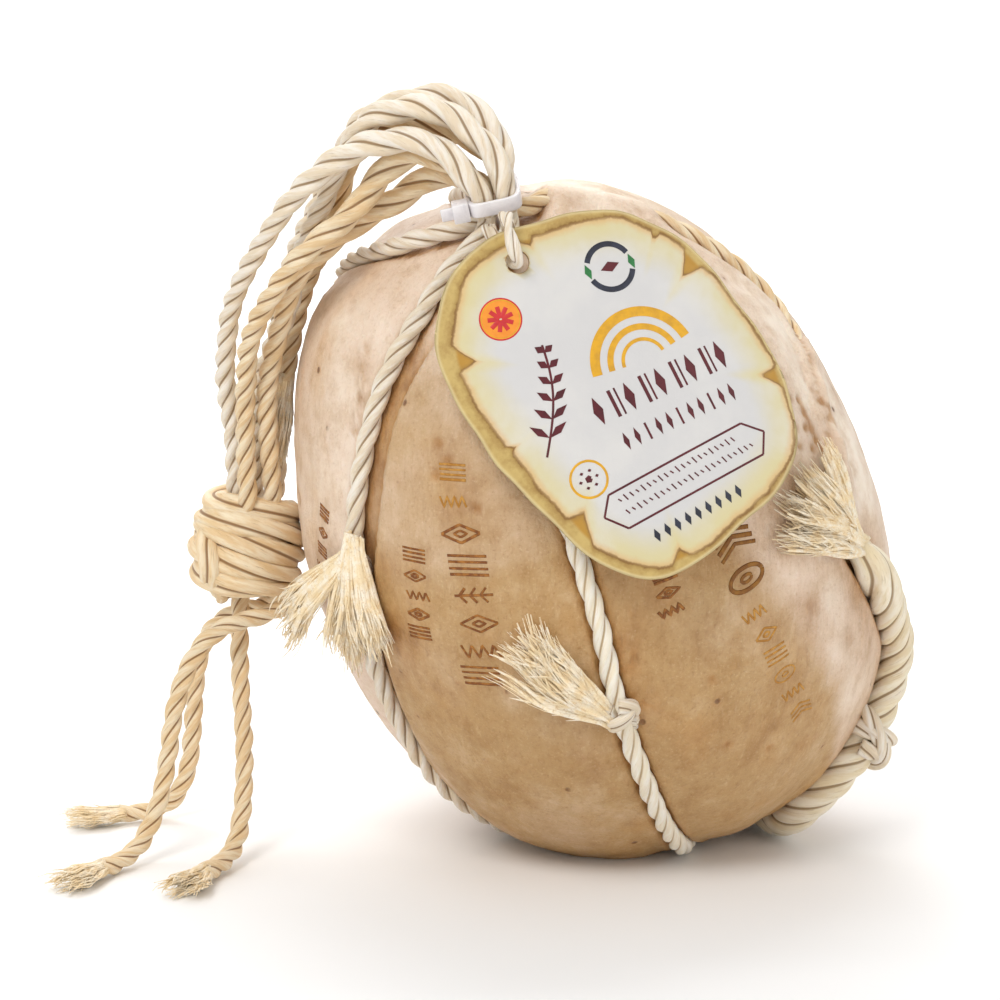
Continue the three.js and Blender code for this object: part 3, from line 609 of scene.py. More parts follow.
def rind_material():
    """Pale to deep tan by the toning layer, streaked along the pulled curd, with flecks and pits; stains and painted
    shade come from one layer, pale bloom and painted highlight from another.
    """
    turn = tuple(Vector(BODY_AXIS).rotation_difference(Vector((0, 0, 1))).to_euler())

    def build(bench):
        place = bench.place()
        broad = bench.noise(place, 17.0, 4.0, 0.6)
        mottle = bench.noise(place, 85.0, 5.0, 0.68)
        curd = bench.noise(place, 300.0, 4.0, 0.7, squash=(1, 1, 0.28), turn=turn)
        hair = bench.noise(place, 900.0, 3.0, 0.6, squash=(1, 1, 0.14), turn=turn)
        grain = bench.noise(place, 1100.0, 3.0, 0.65)
        gold = bench.noise(place, 26.0, 4.0, 0.6, squash=(1, 1, 0.5), turn=turn)
        tone = bench.maths("ADD", bench.layer("toning"), bench.ramp(broad, 0.32, 0.68, -0.22, 0.22), clamp=True)
        cream = bench.mix(tone, rgb(246, 230, 214), rgb(220, 190, 150))
        colour = bench.washes(
            bench.mix(tone, rgb(232, 208, 186), rgb(188, 150, 99)),
            (gold, 0.54, 0.72, 0.5, rgb(204, 158, 98)),
            (mottle, 0.47, 0.7, 0.5, (0.72, 0.6, 0.42, 1), "MULTIPLY"), (mottle, 0.48, 0.3, 0.34, cream),
            (curd, 0.52, 0.74, 0.36, (0.7, 0.6, 0.46, 1), "MULTIPLY"), (curd, 0.45, 0.28, 0.24, cream),
            (hair, 0.55, 0.75, 0.3, (0.72, 0.6, 0.48, 1), "MULTIPLY"),
            (grain, 0.54, 0.76, 0.5, (0.66, 0.52, 0.38, 1), "MULTIPLY"), (grain, 0.44, 0.26, 0.4, cream))
        # pale bloom, and painted highlight on the lit rind right of the card
        bloom_and_highlight = bench.maths("MULTIPLY", bench.layer("bloom_and_highlight"), bench.ramp(mottle, 0.64, 0.4, 0.45, 1.0))
        colour = bench.mix(bloom_and_highlight, colour, rgb(248, 232, 212))
        spots = bench.new("ShaderNodeTexVoronoi", Vector=place, Scale=95.0).outputs["Distance"]
        pick = bench.ramp(bench.noise(place, 60.0, 1.0), 0.53, 0.6)
        halo = bench.maths("MULTIPLY", bench.ramp(spots, 0.3, 0.05), pick)
        colour = bench.mix(bench.maths("MULTIPLY", halo, 0.3), colour, rgb(176, 122, 70))
        pits = bench.maths("MULTIPLY", bench.ramp(spots, 0.12, 0.05), pick)
        colour = bench.mix(bench.maths("MULTIPLY", pits, 0.8), colour, rgb(112, 70, 38))
        # stains and painted shade share one tint, laid on by the browning layer
        stain_and_shade_tint = bench.washes(rgb(190, 140, 80), (mottle, 0.35, 0.65, 1.0, rgb(158, 106, 52)),
                             (curd, 0.48, 0.7, 0.6, rgb(132, 84, 38)))
        brown_and_shade = bench.maths("MULTIPLY", bench.layer("browning_and_shade"), bench.ramp(curd, 0.25, 0.6, 0.72, 1.0), clamp=True)
        colour = bench.mix(bench.maths("MULTIPLY", brown_and_shade, 0.92, clamp=True), colour, stain_and_shade_tint)
        height = bench.sum_of((curd, 0.5), (mottle, 0.45), (grain, 0.3), (pits, -0.7))
        return {"Base Color": colour, "Roughness": bench.ramp(mottle, 0.3, 0.7, 0.44, 0.62),
                "Height": (height, 0.0015, 0.75)}
    return shader("natural rind", 0.5, build, Subsurface_Weight=0.12, Subsurface_Radius=(0.006, 0.003, 0.0015),
                  Subsurface_Scale=0.6, Coat_Weight=0.06, Coat_Roughness=0.45)


def stamp_material(name, ink, worn):
    def build(bench):
        tone, colour = bench.clouds(500.0, ink, worn, 0.4, 0.65)
        wear = bench.noise(bench.place(), 900.0, 3.0, 0.7)
        return {"Base Color": colour, "Alpha": bench.ramp(wear, 0.24, 0.38), "Height": (tone, 0.0003, 0.4)}
    return shader(name, 0.6, build)


def card_material():
    """Coated card: pale grey in the middle, and an aged straw border behind a wavy scorched line, with a painted
    highlight along the rim.
    """
    def build(bench):
        place = bench.place()
        waver = bench.noise(place, 150.0, 4.0, 0.7)
        fog = bench.noise(place, 34.0, 4.0, 0.6)
        line = bench.maths("ADD", bench.layer("inset"), bench.ramp(waver, 0.3, 0.7, -0.45, 0.45))
        distance = bench.maths("ABSOLUTE", line)
        inside = bench.ramp(line, -0.25, 0.25)
        centre = bench.washes(rgb(212, 200, 152), (line, 2.0, 14.0, 1.0, rgb(207, 205, 204)),
                              (fog, 0.42, 0.68, 0.55, rgb(220, 217, 212)))
        border = bench.washes(
            rgb(200, 172, 104), (waver, 0.35, 0.7, 1.0, rgb(178, 145, 80)),
            (bench.layer("torn"), 0.2, 1.6, 0.85, rgb(180, 130, 30)), (line, -2.4, -0.4, 0.6, rgb(156, 118, 54)),
            # painted highlight along the card's rim
            (bench.layer("rim"), 1.3, 0.3, 0.6, rgb(224, 206, 156)))
        scorch = bench.maths("MULTIPLY", bench.ramp(distance, 3.0, 0.0, 0.0, 0.8), inside)
        colour = bench.mix(scorch, bench.mix(inside, border, centre), rgb(214, 172, 112))
        ink = bench.maths("MULTIPLY", bench.ramp(distance, 0.8, 0.1, 0.0, 0.9), bench.ramp(waver, 0.3, 0.6, 0.5, 1.0))
        return {"Base Color": bench.mix(ink, colour, rgb(128, 90, 34)),
                "Roughness": bench.ramp(waver, 0.3, 0.7, 0.34, 0.46),
                "Height": (bench.noise(place, 1500.0, 2.0), 0.00012, 0.3)}
    return shader("coated card", 0.4, build, Coat_Weight=0.15, Coat_Roughness=0.3)


def print_material(name, colour, deeper):
    return shader(name, 0.4, lambda bench: {"Base Color": bench.clouds(300.0, colour, deeper)[1]}, Coat_Weight=0.15,
                  Coat_Roughness=0.3)


def tie_material():
    def build(bench):
        cloud, colour = bench.clouds(170.0, rgb(238, 234, 236), rgb(216, 212, 216))
        return {"Base Color": colour, "Roughness": bench.ramp(cloud, 0.3, 0.7, 0.22, 0.36),
                "Height": (cloud, 0.0003, 0.2)}
    return shader("cloudy nylon", 0.3, build, Subsurface_Weight=0.35, Subsurface_Radius=(0.004, 0.004, 0.004),
                  Subsurface_Scale=0.5)


def floor_material():
    def build(bench):
        tone = bench.noise(bench.place(), 6.0, 2.0)
        return {"Base Color": bench.mix(tone, rgb(246, 246, 246), rgb(250, 250, 250))}
    return shader("studio paper", 0.8, build)


CREAM_CORD = cord_material("cream cord", rgb(247, 238, 224), rgb(234, 216, 188), rgb(156, 124, 84))
# a lighter copy of the cream cord: painted light for the centre rope, which lies in shade
CREAM_CORD_PAINTED_LIGHTER = cord_material("bleached cord", rgb(254, 247, 232), rgb(247, 234, 208), rgb(196, 166, 124))
# a darker tan cord: the knot, the tails and the right rope are tan, and on the strands at the back of the bundle the
# tan is painted shade
TAN_AND_SHADED_CORD = cord_material("tan and shaded cord", rgb(246, 228, 196), rgb(232, 200, 152), rgb(146, 102, 54))
DOUBLE_CORD = cord_material("doubled cord", rgb(247, 236, 214), rgb(234, 216, 180), rgb(158, 128, 88), 4.0)
FIBRES = fibre_material()
RIND = rind_material()
DARK_STAMP = stamp_material("dark stamp", rgb(122, 66, 10), rgb(168, 108, 38))
BRONZE_STAMP = stamp_material("bronze stamp", rgb(124, 74, 4), rgb(150, 98, 18))
GOLD_STAMP = stamp_material("golden stamp", rgb(170, 114, 34), rgb(198, 144, 62))
CARD = card_material()
SEAL_ORANGE = print_material("orange print", rgb(240, 150, 40), rgb(232, 136, 36))
DARK_RED = print_material("dark red print", rgb(92, 10, 24), rgb(74, 8, 20))
BRIGHT_RED = print_material("red print", rgb(206, 44, 44), rgb(190, 36, 40))
MUSTARD = print_material("mustard print", rgb(226, 168, 22), rgb(204, 150, 30))
BLUE_BLACK = print_material("blue-black print", rgb(28, 30, 44), rgb(44, 48, 66))
LEAF_GREEN = print_material("green print", rgb(40, 120, 60), rgb(30, 104, 52))
NYLON = tie_material()
PAPER = floor_material()

# ---- Floor ---------------------------------------------------------------------------------------


FLOOR_HALF_WIDTH, FLOOR_LENGTH, FLOOR_FRONT = 6000, 7000, -2600
FLOOR_FLAT, FLOOR_BEND = 2400, 900  # how far back it lies flat, and the radius in which it turns up


def lay_floor():
    """A pale sheet that lies flat under the cheese and rises behind it, far away."""
    bm = bmesh.new()
    bmesh.ops.create_grid(bm, x_segments=2, y_segments=40, size=1)
    quarter = FLOOR_BEND * math.pi / 2
    for vert in bm.verts:
        run = (vert.co.y + 1) / 2 * FLOOR_LENGTH + FLOOR_FRONT
        past = max(0.0, run - FLOOR_FLAT)
        turn = min(past, quarter) / FLOOR_BEND
        vert.co = (vert.co.x * FLOOR_HALF_WIDTH, min(run, FLOOR_FLAT) + FLOOR_BEND * math.sin(turn),
                   FLOOR_BEND * (1 - math.cos(turn)) + max(0.0, past - quarter))
    finish_mesh(bm, "studio_floor", PAPER)


# ---- Cords and ropes -----------------------------------------------------------------------------

KNOT_CENTRE = np.array([-119.4, -1, 95.8])
KNOT_RADIUS, KNOT_HALF_HEIGHT, KNOT_TURNS = 17.8, 16.8, 5
KNOT_ENTRY = 7  # how far the ropes run on into the knot, out of sight
FIBRE_EDGE, FIBRE_HALF_WIDTH = 0.11, 0.16  # of the flat fibres, before their own widths multiply them


def strand_line(name):
    slot, route = STRANDS[name]
    rows = [slot_point(slot, -0.6), slot_point(slot, 4.4), *np.array(route, float)]
    if name != "strand_back":
        rows.append(rows[-1] + KNOT_ENTRY * unit(KNOT_CENTRE + [0, 0, 6] - rows[-1]))
    return smooth(rows)


def loop_line():
    across, deep = LOOP_SLOT
    legs = [[slot_point((side * across, deep), -1.2), slot_point((side * across, deep - 0.2), -3)]
            for side in (1, -1)]
    return smooth([*legs[0], *np.array(LOOP_ROUTE, float), *legs[1][::-1]], 0.7)


def ribbon_fibres(name, lines, widths):
    """Thin flat fibres, tapered to their tips, as one mesh."""
    data = bpy.data.curves.new(name, "CURVE")
    data.dimensions = "3D"
    data.bevel_depth, data.bevel_resolution, data.extrude = FIBRE_EDGE, 0, FIBRE_HALF_WIDTH
    data.use_fill_caps = True
    for line, width in zip(lines, widths):
        spline = data.splines.new("POLY")
        spline.points.add(len(line) - 1)
        turn = random.uniform(0, math.pi)
        for k, (point, place) in enumerate(zip(spline.points, line)):
            share = k / (len(line) - 1)
            point.co = (*place, 1)
            point.radius = width * (1 - 0.75 * share**2)
            point.tilt = turn + 0.6 * share
    holder = put_in_scene(name + "_lines", data)
    bm = bmesh.new()
    bm.from_mesh(evaluated_mesh(holder))
    bpy.data.objects.remove(holder)
    bmesh.ops.remove_doubles(bm, verts=bm.verts, dist=0.0005)
    return finish_mesh(bm, name, FIBRES)


def add_cord(bm, name, material, node):
    return add(finish_mesh(bm, name, material), "cord", node)


def hang_bundle():
    knot = big_knot()
    back_tuft = tuft("strand_back_tuft", STRANDS["strand_back"][1], 26, 7.4, 5, 300)
    for name in STRANDS:
        line = strand_line(name)
        # the strands at the back of the bundle take the tan cord as painted shade
        material = CREAM_CORD if name in ("strand_outer", "strand_second", "strand_low") else TAN_AND_SHADED_CORD
        # Over the arch the plies open and the strand swells. It is pinched in the tie, and even below the arch.
        bm = laid_rope(line, ROPE_RADIUS * 1.08, lambda along: 44 - 22 * smoothstep(along, 40, 110),
                       wobble=random.uniform(0, TAU), thickness=lambda along: 1 + 0.26 * between(along, 3, 14, 40, 95))
        piece = add_cord(bm, "hanging_" + name, material, name)
    for name, rows in TAILS.items():
        brushy = tuft(name + "_tuft", rows, 17, 8, 3.4, 150)
        first, second = np.array(rows[0], float), np.array(rows[1], float)
        line = smooth([first + KNOT_ENTRY * unit(first - second + 0.45 * (KNOT_CENTRE - first)), *rows])
        bm = laid_rope(line, ROPE_RADIUS, 24, wobble=random.uniform(0, TAU))
        add_cord(bm, "loose_" + name, TAN_AND_SHADED_CORD, name)
    line = loop_line()
    bm = laid_rope(line, LOOP_RADIUS, 26, plies=2, sides=18)
    add_cord(bm, "tag_cord", CREAM_CORD, "tag_loop")


def tuft(name, rows, length, spread, thick, count):
    """The frayed end of a free rope."""
    before, last = np.array(rows[-2], float), np.array(rows[-1], float)
    along = unit(last - before)
    across = unit(np.cross(along, [0, 0, 1]))
    out = np.cross(across, along)
    lines, widths = [], []
    for _ in range(count):
        angle, root = random.uniform(0, TAU), ROPE_RADIUS * 0.85 * math.sqrt(random.random())
        reach = length * random.uniform(0.55, 1.12)
        aim = [math.cos(angle) * random.uniform(0.3, 1) * spread, math.sin(angle) * random.uniform(0.3, 1) * thick]
        curl, wave = random.uniform(-2, 2), random.uniform(0, TAU)
        line = []
        for t in np.linspace(0, 1, 8):
            side = root * math.cos(angle) * (1 - t) + aim[0] * t + curl * math.sin(3 * t) * t
            side = side + 0.9 * t * math.sin(9 * t + wave)
            rise = root * math.sin(angle) * (1 - t) + aim[1] * t + 0.6 * t * math.cos(9 * t + wave)
            point = last - along * 2 + along * (reach + 2) * t + across * side + out * rise
            line.append([point[0], point[1], max(point[2], 0.5)])
        lines.append(line)
        widths.append(random.uniform(0.8, 2.2))
    return add(ribbon_fibres("frayed_" + name, lines, widths), "fibre", name)


def knot_barrel(height):
    """Radius of the big knot's wraps at a height from its middle, between -1 and 1."""
    return (KNOT_RADIUS - 3.6) * (1 - abs(height) ** 3 * 0.36)


def big_knot():
    """Leaning turns round an upright core, one bight down the left, and the core that they hide."""
    lean = Matrix.Rotation(math.radians(8), 3, "Y") @ Matrix.Rotation(math.radians(-5), 3, "X")
    bm = bmesh.new()
    rows = []
    for t in np.linspace(0, 1, KNOT_TURNS * 18 + 1):
        height = 0.84 * (1 - 2 * t)
        turn = TAU * KNOT_TURNS * t + 2.4
        reach = knot_barrel(height) * (1 + 0.035 * math.sin(2 * turn + 1))
        sway = 1.3 * math.sin(turn * 1.21 + 0.6)
        spot = lean @ Vector((reach * math.cos(turn), reach * math.sin(turn), height * KNOT_HALF_HEIGHT + sway))
        rows.append(KNOT_CENTRE + np.array(spot))
    laid_rope(smooth(rows, 1.1), 4.5, 120, sides=30, wobble=0.9, into=bm)
    bight = []
    for t in np.linspace(0, 1, 14):
        height = 0.42 - 1.36 * t
        turn = math.radians(208 + 24 * math.sin(math.pi * t))
        reach = knot_barrel(height) + 5.2 * math.sin(math.pi * min(1, t * 1.1)) ** 0.7 - 1.6
        bight.append(KNOT_CENTRE + [reach * math.cos(turn), reach * math.sin(turn), height * KNOT_HALF_HEIGHT])
    laid_rope(smooth(bight, 1.1), 3.8, 90, sides=24, into=bm)
    core = bmesh.ops.create_uvsphere(bm, u_segments=32, v_segments=20, radius=1)["verts"]
    for vert in core:
        vert.co.z = math.copysign(abs(vert.co.z) ** 0.6, vert.co.z)
    bmesh.ops.scale(bm, vec=(14.6, 14.6, 15.2), verts=core)
    bmesh.ops.translate(bm, vec=Vector(KNOT_CENTRE), verts=core)
    return add_cord(bm, "big_knot", TAN_AND_SHADED_CORD, "knot_hanging")


def harness_line(name):
    slot = HARNESS[name][0]
    end = DOUBLE_FROM + 5 if name == "rope_right" else ROPE_END
    start = [slot_point(slot, 1.2), slot_point(slot, -3.4)]
    return smooth([*start, *rope_run(name, CROWN_LATITUDE - 3, end)])


def double_line():
    return smooth(rope_run("rope_right", DOUBLE_FROM + 4, DOUBLE_END, 5))


def tie_harness():
    for name in HARNESS:
        # the centre rope's lighter cord is painted light against the shade it lies in
        material = {"rope_right": TAN_AND_SHADED_CORD, "rope_centre": CREAM_CORD_PAINTED_LIGHTER}.get(name, CREAM_CORD)
        bm = laid_rope(harness_line(name), ROPE_RADIUS, 29, wobble=random.uniform(0, TAU))
        add_cord(bm, "harness_" + name, material, name)
    line = double_line()
    end = length_of(line)

    def slimmer_at_its_ends(along):
        return (0.62 + 0.38 * smoothstep(along, -2, 12)) * (1 - 0.55 * smoothstep(along, end - 16, end))

    # loose plies at first, then a firm twist
    bm = laid_rope(line, DOUBLE_RADIUS, lambda along: 90 - 56 * smoothstep(along, 14, 34), plies=4, sides=40,
                   thickness=slimmer_at_its_ends)
    add_cord(bm, "doubled_rope", DOUBLE_CORD, "rope_right_double")


# Node, rope, latitude and height over the rope, then half reach across and along it, and the wrap's radius and turns.
ROPE_KNOTS = [("knot_left_front", "rope_left_front", 29, 0.8, 5.8, 6.8, 2.5, 1.7),
              ("knot_centre", "rope_centre", -1, 0.8, 5.8, 6.8, 2.5, 1.7),
              ("knot_right", "rope_right", -42, 0.4, 10, 8.4, 3, 1.9)]


def wrap_knot(node, centre, axis, across, along, rope_radius, turns, slant=1.0):
    """A rope wound a few times about another, with a bight laid over the turns."""
    side = square_to(np.array([0.3, -0.5, 0.8]), axis)
    other = np.cross(axis, side)
    reach = across - rope_radius

    def spot(height, out, angle):
        return centre + axis * height + out * (math.cos(angle) * side + math.sin(angle) * other)

    rows = []
    for t in np.linspace(0, 1, int(turns * 12) + 1):
        angle, far = TAU * turns * t, 2 * t - 1
        rows.append(spot((along - rope_radius) * far + slant * math.cos(angle), reach * (1 - 0.16 * far**2), angle))
    bm = laid_rope(smooth(rows, 0.9), rope_radius, 34, sides=24)
    bight = [spot((along - rope_radius * 0.6) * math.cos(math.pi * t), reach + 1.1 * math.sin(math.pi * t),
                  math.radians(-60 + 200 * t)) for t in np.linspace(0, 1, 9)]
    laid_rope(smooth(bight, 0.9), rope_radius * 0.95, 34, sides=24, into=bm)
    add_cord(bm, "wound_" + node, CREAM_CORD, node)


def tie_knots():
    for node, rope, latitude, height, *sizes in ROPE_KNOTS:
        axis = unit(rope_line(rope, latitude + 3) - rope_line(rope, latitude - 3))
        wrap_knot(node, rope_line(rope, latitude, height), axis, *sizes)
    wrap_knot("knot_under", on_skin(0, -90, -1), GATHER_AXIS, 7.6, 4.6, 2.5, 1.8, slant=0.6)


LOCKS = 26  # the fibres of a brush hang together in locks
# Each fan of a brush spreads from one place on the rind to another, given by azimuth, latitude and height, with
# its half width and half thickness at root and tip, and its number of fibres.
BRUSHES = {
    "brush_left_front": [((-60.5, 33.5, 4.6), (-55, 13.5, 7), (4.6, 8), (3.4, 5.4), 360),
                         ((-62.5, 33, 4.8), (-68, 8, 9), (4.4, 10), (3.6, 6), 420),
                         ((-64.5, 31, 5), (-87, 7, 13), (3.6, 10), (3, 5.4), 360)],
    "brush_centre": [((-11, 0.5, 3.4), (-25, 20.5, 4.4), (3.6, 12.5), (3.4, 5.6), 760)],
    "brush_right": [((53, 1.5, 4.2), (34, 22, 4.8), (5.4, 9), (4, 4.6), 620),
                    ((53, 2.5, 4.2), (45.5, 26, 4.8), (4.6, 6.5), (3, 4), 380),
                    ((53.5, 3.5, 4.2), (56.5, 24, 4.4), (3, 5), (2.4, 3), 200)],
}


def fan_lines(start, end, width, depth, count):
    """Fibres of one fan: crinkled locks of many fibres each, and short barbs that stand off them."""
    start, end = np.array(start, float), np.array(end, float)
    locks = [(random.uniform(-0.95, 0.95), random.uniform(-1, 1), random.uniform(0.72, 1.0), random.uniform(0, TAU),
              random.uniform(0.08, 0.2), random.uniform(6, 10)) for _ in range(LOCKS)]
    lines, widths = [], []
    for k in range(count):
        side, rise, reach, wave, bow, turns = locks[k % LOCKS]
        broad, barb = k < LOCKS * 4, random.random() < 0.3
        side = side + random.gauss(0, 0.07)
        rise = 0.5 * rise + random.uniform(-0.5, 0.5)
        reach = reach * random.uniform(0.8 if broad else 0.6, 1.04)
        wave, curl, root, lean = wave + random.gauss(0, 0.3), random.gauss(0, 0.1), random.uniform(-0.14, 0.06), 0.0
        if barb and not broad:
            root = random.uniform(0.1, 0.85) * reach
            reach, lean = root + random.uniform(0.1, 0.22), random.choice((-1, 1)) * random.uniform(0.8, 2.4)
            rise, curl = rise + 0.25, 0.0
        line = []
        for t in np.linspace(root, reach, 9):
            here, ahead = start + (end - start) * t, start + (end - start) * (t + 0.05)
            spot, along = on_skin(*here), unit(on_skin(*ahead) - on_skin(*here))
            out = square_to(direction(here[0], here[1]), along)
            across = np.cross(along, out)
            share = max(t, 0)
            spread = width[0] * 0.6 + (width[1] - width[0] * 0.6) * share**0.8
            thick = depth[0] * 0.8 + (depth[1] - depth[0] * 0.8) * share
            sway = bow * min(1, share * 2.2) * math.sin(turns * share + wave) + curl * share**2 + lean * (t - root)
            lift = rise * (0.5 + 0.5 * share) + 0.3 * math.sin(turns * 0.8 * share + 2 * wave) * share
            lift = lift + 0.7 * abs(lean) * (t - root)
            line.append(spot + across * spread * (side + sway) + out * thick * lift)
        lines.append(line)
        widths.append(random.uniform(2.4, 4.6) if broad else random.uniform(0.8, 1.8))
    return lines, widths


def fray_brushes():
    for name, fans in BRUSHES.items():
        lines, widths = [], []
        for fan in fans:
            more_lines, more_widths = fan_lines(*fan)
            lines += more_lines
            widths += more_widths
        add(ribbon_fibres("frayed_" + name, lines, widths), "fibre", name)


# ---- The cheese ----------------------------------------------------------------------------------

CHEESE_CUTS = 119  # each side of a cube is cut into 120 by 120 squares, of about 1.2 mm
SEAT_PLAY = 0.3  # how much wider a rope's seat in the rind is than the rope


def rope_tree():
    """All the harness ropes' centres, each with its radius, in a search tree."""
    lines = [(harness_line(name), ROPE_RADIUS) for name in HARNESS] + [(double_line(), DOUBLE_RADIUS)]
    points = np.vstack([line for line, _ in lines])
    radii = np.concatenate([np.full(len(line), radius) for line, radius in lines])
    tree = kdtree.KDTree(len(points))
    for i, point in enumerate(points):
        tree.insert(point, i)
    tree.balance()
    return tree, points, radii


def bump_at(points, size, seed=0.0):
    """Smooth noise, about -1 to 1, with lumps of the given size in millimetres."""
    return np.array([noise.noise(Vector(p) / size + Vector((seed, seed * 0.7, 0))) for p in points])


# Stains in the rind: azimuth, latitude, spread in degrees and strength.
STAINS = [(-54.5, 31, 4, 0.8), (-53, 20, 5.5, 0.85), (-55, 8, 5, 0.6), (-47, 15, 4.5, 0.35), (-44, 7, 5, 0.3),
          (7, 24, 5, 0.45), (5.5, 17, 4, 0.35), (-4, 0, 4, 0.5), (4, -12, 5, 0.35), (15, -16, 5, 0.4),
          (25, 18, 4.5, 0.4), (34, 0, 4, 0.4), (31, -5, 3, 0.45), (48.5, -8, 5, 0.65), (49, -18, 5, 0.6),
          (-124, 55, 4, 0.7), (-30, 20, 4, 0.3), (-31, 46, 5, 0.25), (24, -10, 5, 0.25), (-15, -8, 6, 0.25),
          (-39, 52, 3, 0.3), (150, 10, 12, 0.3), (-170, -20, 14, 0.35), (100, -10, 12, 0.3), (-105, 0, 12, 0.25),
          (61.6, 29.4, 1.6, 0.9), (60.2, 27, 1.5, 0.8), (59.8, 24.6, 1.6, 0.9), (59.2, 22, 1.4, 0.8),
          (59.6, 19, 1.6, 0.6), (90, 21, 3, 0.4), (84, 20, 3, 0.35), (80, 18, 3, 0.4), (-3.5, 13, 3, 0.5),
          (-4.5, 8, 2.6, 0.5), (34, 1.6, 3, 0.5), (41.7, -12, 2.4, 0.6), (-52, 21.8, 3, 0.5), (-52, 16.4, 3, 0.5),
          (1, 17, 2.6, 0.3)]
# Pale bloom and painted highlight, the highlight mostly on the lit rind right of the card: azimuth, latitude, spread
# and strength.
BLOOM_AND_HIGHLIGHT = [(112, 72, 9, 0.9), (125, 62, 9, 0.6), (72, 14, 8, 1), (66, 5, 7, 1), (78, 21, 7, 0.9), (65, 30, 4, 0.9),
         (57, 19, 3, 0.9), (-97, 64, 5, 0.6), (84, 46, 7, 0.9), (78, 38, 6, 0.9), (68, 33, 6, 0.7), (56, 31, 4, 0.5),
         (52, 24, 4, 0.5), (45, 14, 4, 0.4), (40, 0, 4, 0.5), (40, -10, 3.5, 0.5), (40, -26, 4, 0.5),
         (-74, 42, 9, 0.5), (-80, 58, 9, 0.4), (-20, 72, 14, 0.3), (-28, 8, 4, 0.2), (14, 8, 5, 0.2),
         (-37, 34, 4, 0.2)]
# A stretch mark on the left shoulder, as places down its length.
SCAR = [(-76.3, 64.3), (-73.8, 62.2), (-71.9, 60.1), (-70.6, 57.9), (-69.8, 55.3), (-68.5, 52.6)]
PITS = [(-36.6, 54.5), (-33.9, 51.9), (-37.2, 49.5), (10, -0.3), (-27.2, 44), (53, 26), (56.5, 23), (55, 29),
        (58, 27), (60, 33), (52.5, 20), (17, -22), (9, -16), (-20, 12), (-95, 30), (140, 30), (-150, 0),
        (61, 28.6), (60, 25.6), (59.4, 23), (59.2, 20.4), (62.6, 31)]


def toning(azimuth, latitude):
    """How deep the rind's tan is, from 0 to 1."""
    left = smoothstep(azimuth, -67, -58)
    right = 1 - smoothstep(azimuth + 0.25 * np.clip(latitude, -20, 60), 26, 37)
    deep = (0.8 + 0.2 * smoothstep(-latitude, -45, -20)) * left * right
    right_side = smoothstep(azimuth, 26, 37) * (0.3 - 0.25 * smoothstep(latitude, -6, 12))
    back = 0.4 * np.maximum(smoothstep(azimuth, 96, 125), smoothstep(-azimuth, 100, 130))
    return np.clip(np.maximum(deep, np.maximum(right_side, back)) + 0.04, 0, 1) * (1 - smoothstep(latitude, 60, 74))


def nearest_rope(surface, way):
    """The rope nearest to each place on the plain skin: how far its centre lies below it and aside, and its radius."""
    tree, centres, radii = rope_tree()
    nearest = np.array([tree.find(p)[1] for p in surface])
    offset = surface - centres[nearest]
    below = (offset * way).sum(1)
    return below, np.linalg.norm(offset - way * below[:, None], axis=1), radii[nearest] + SEAT_PLAY


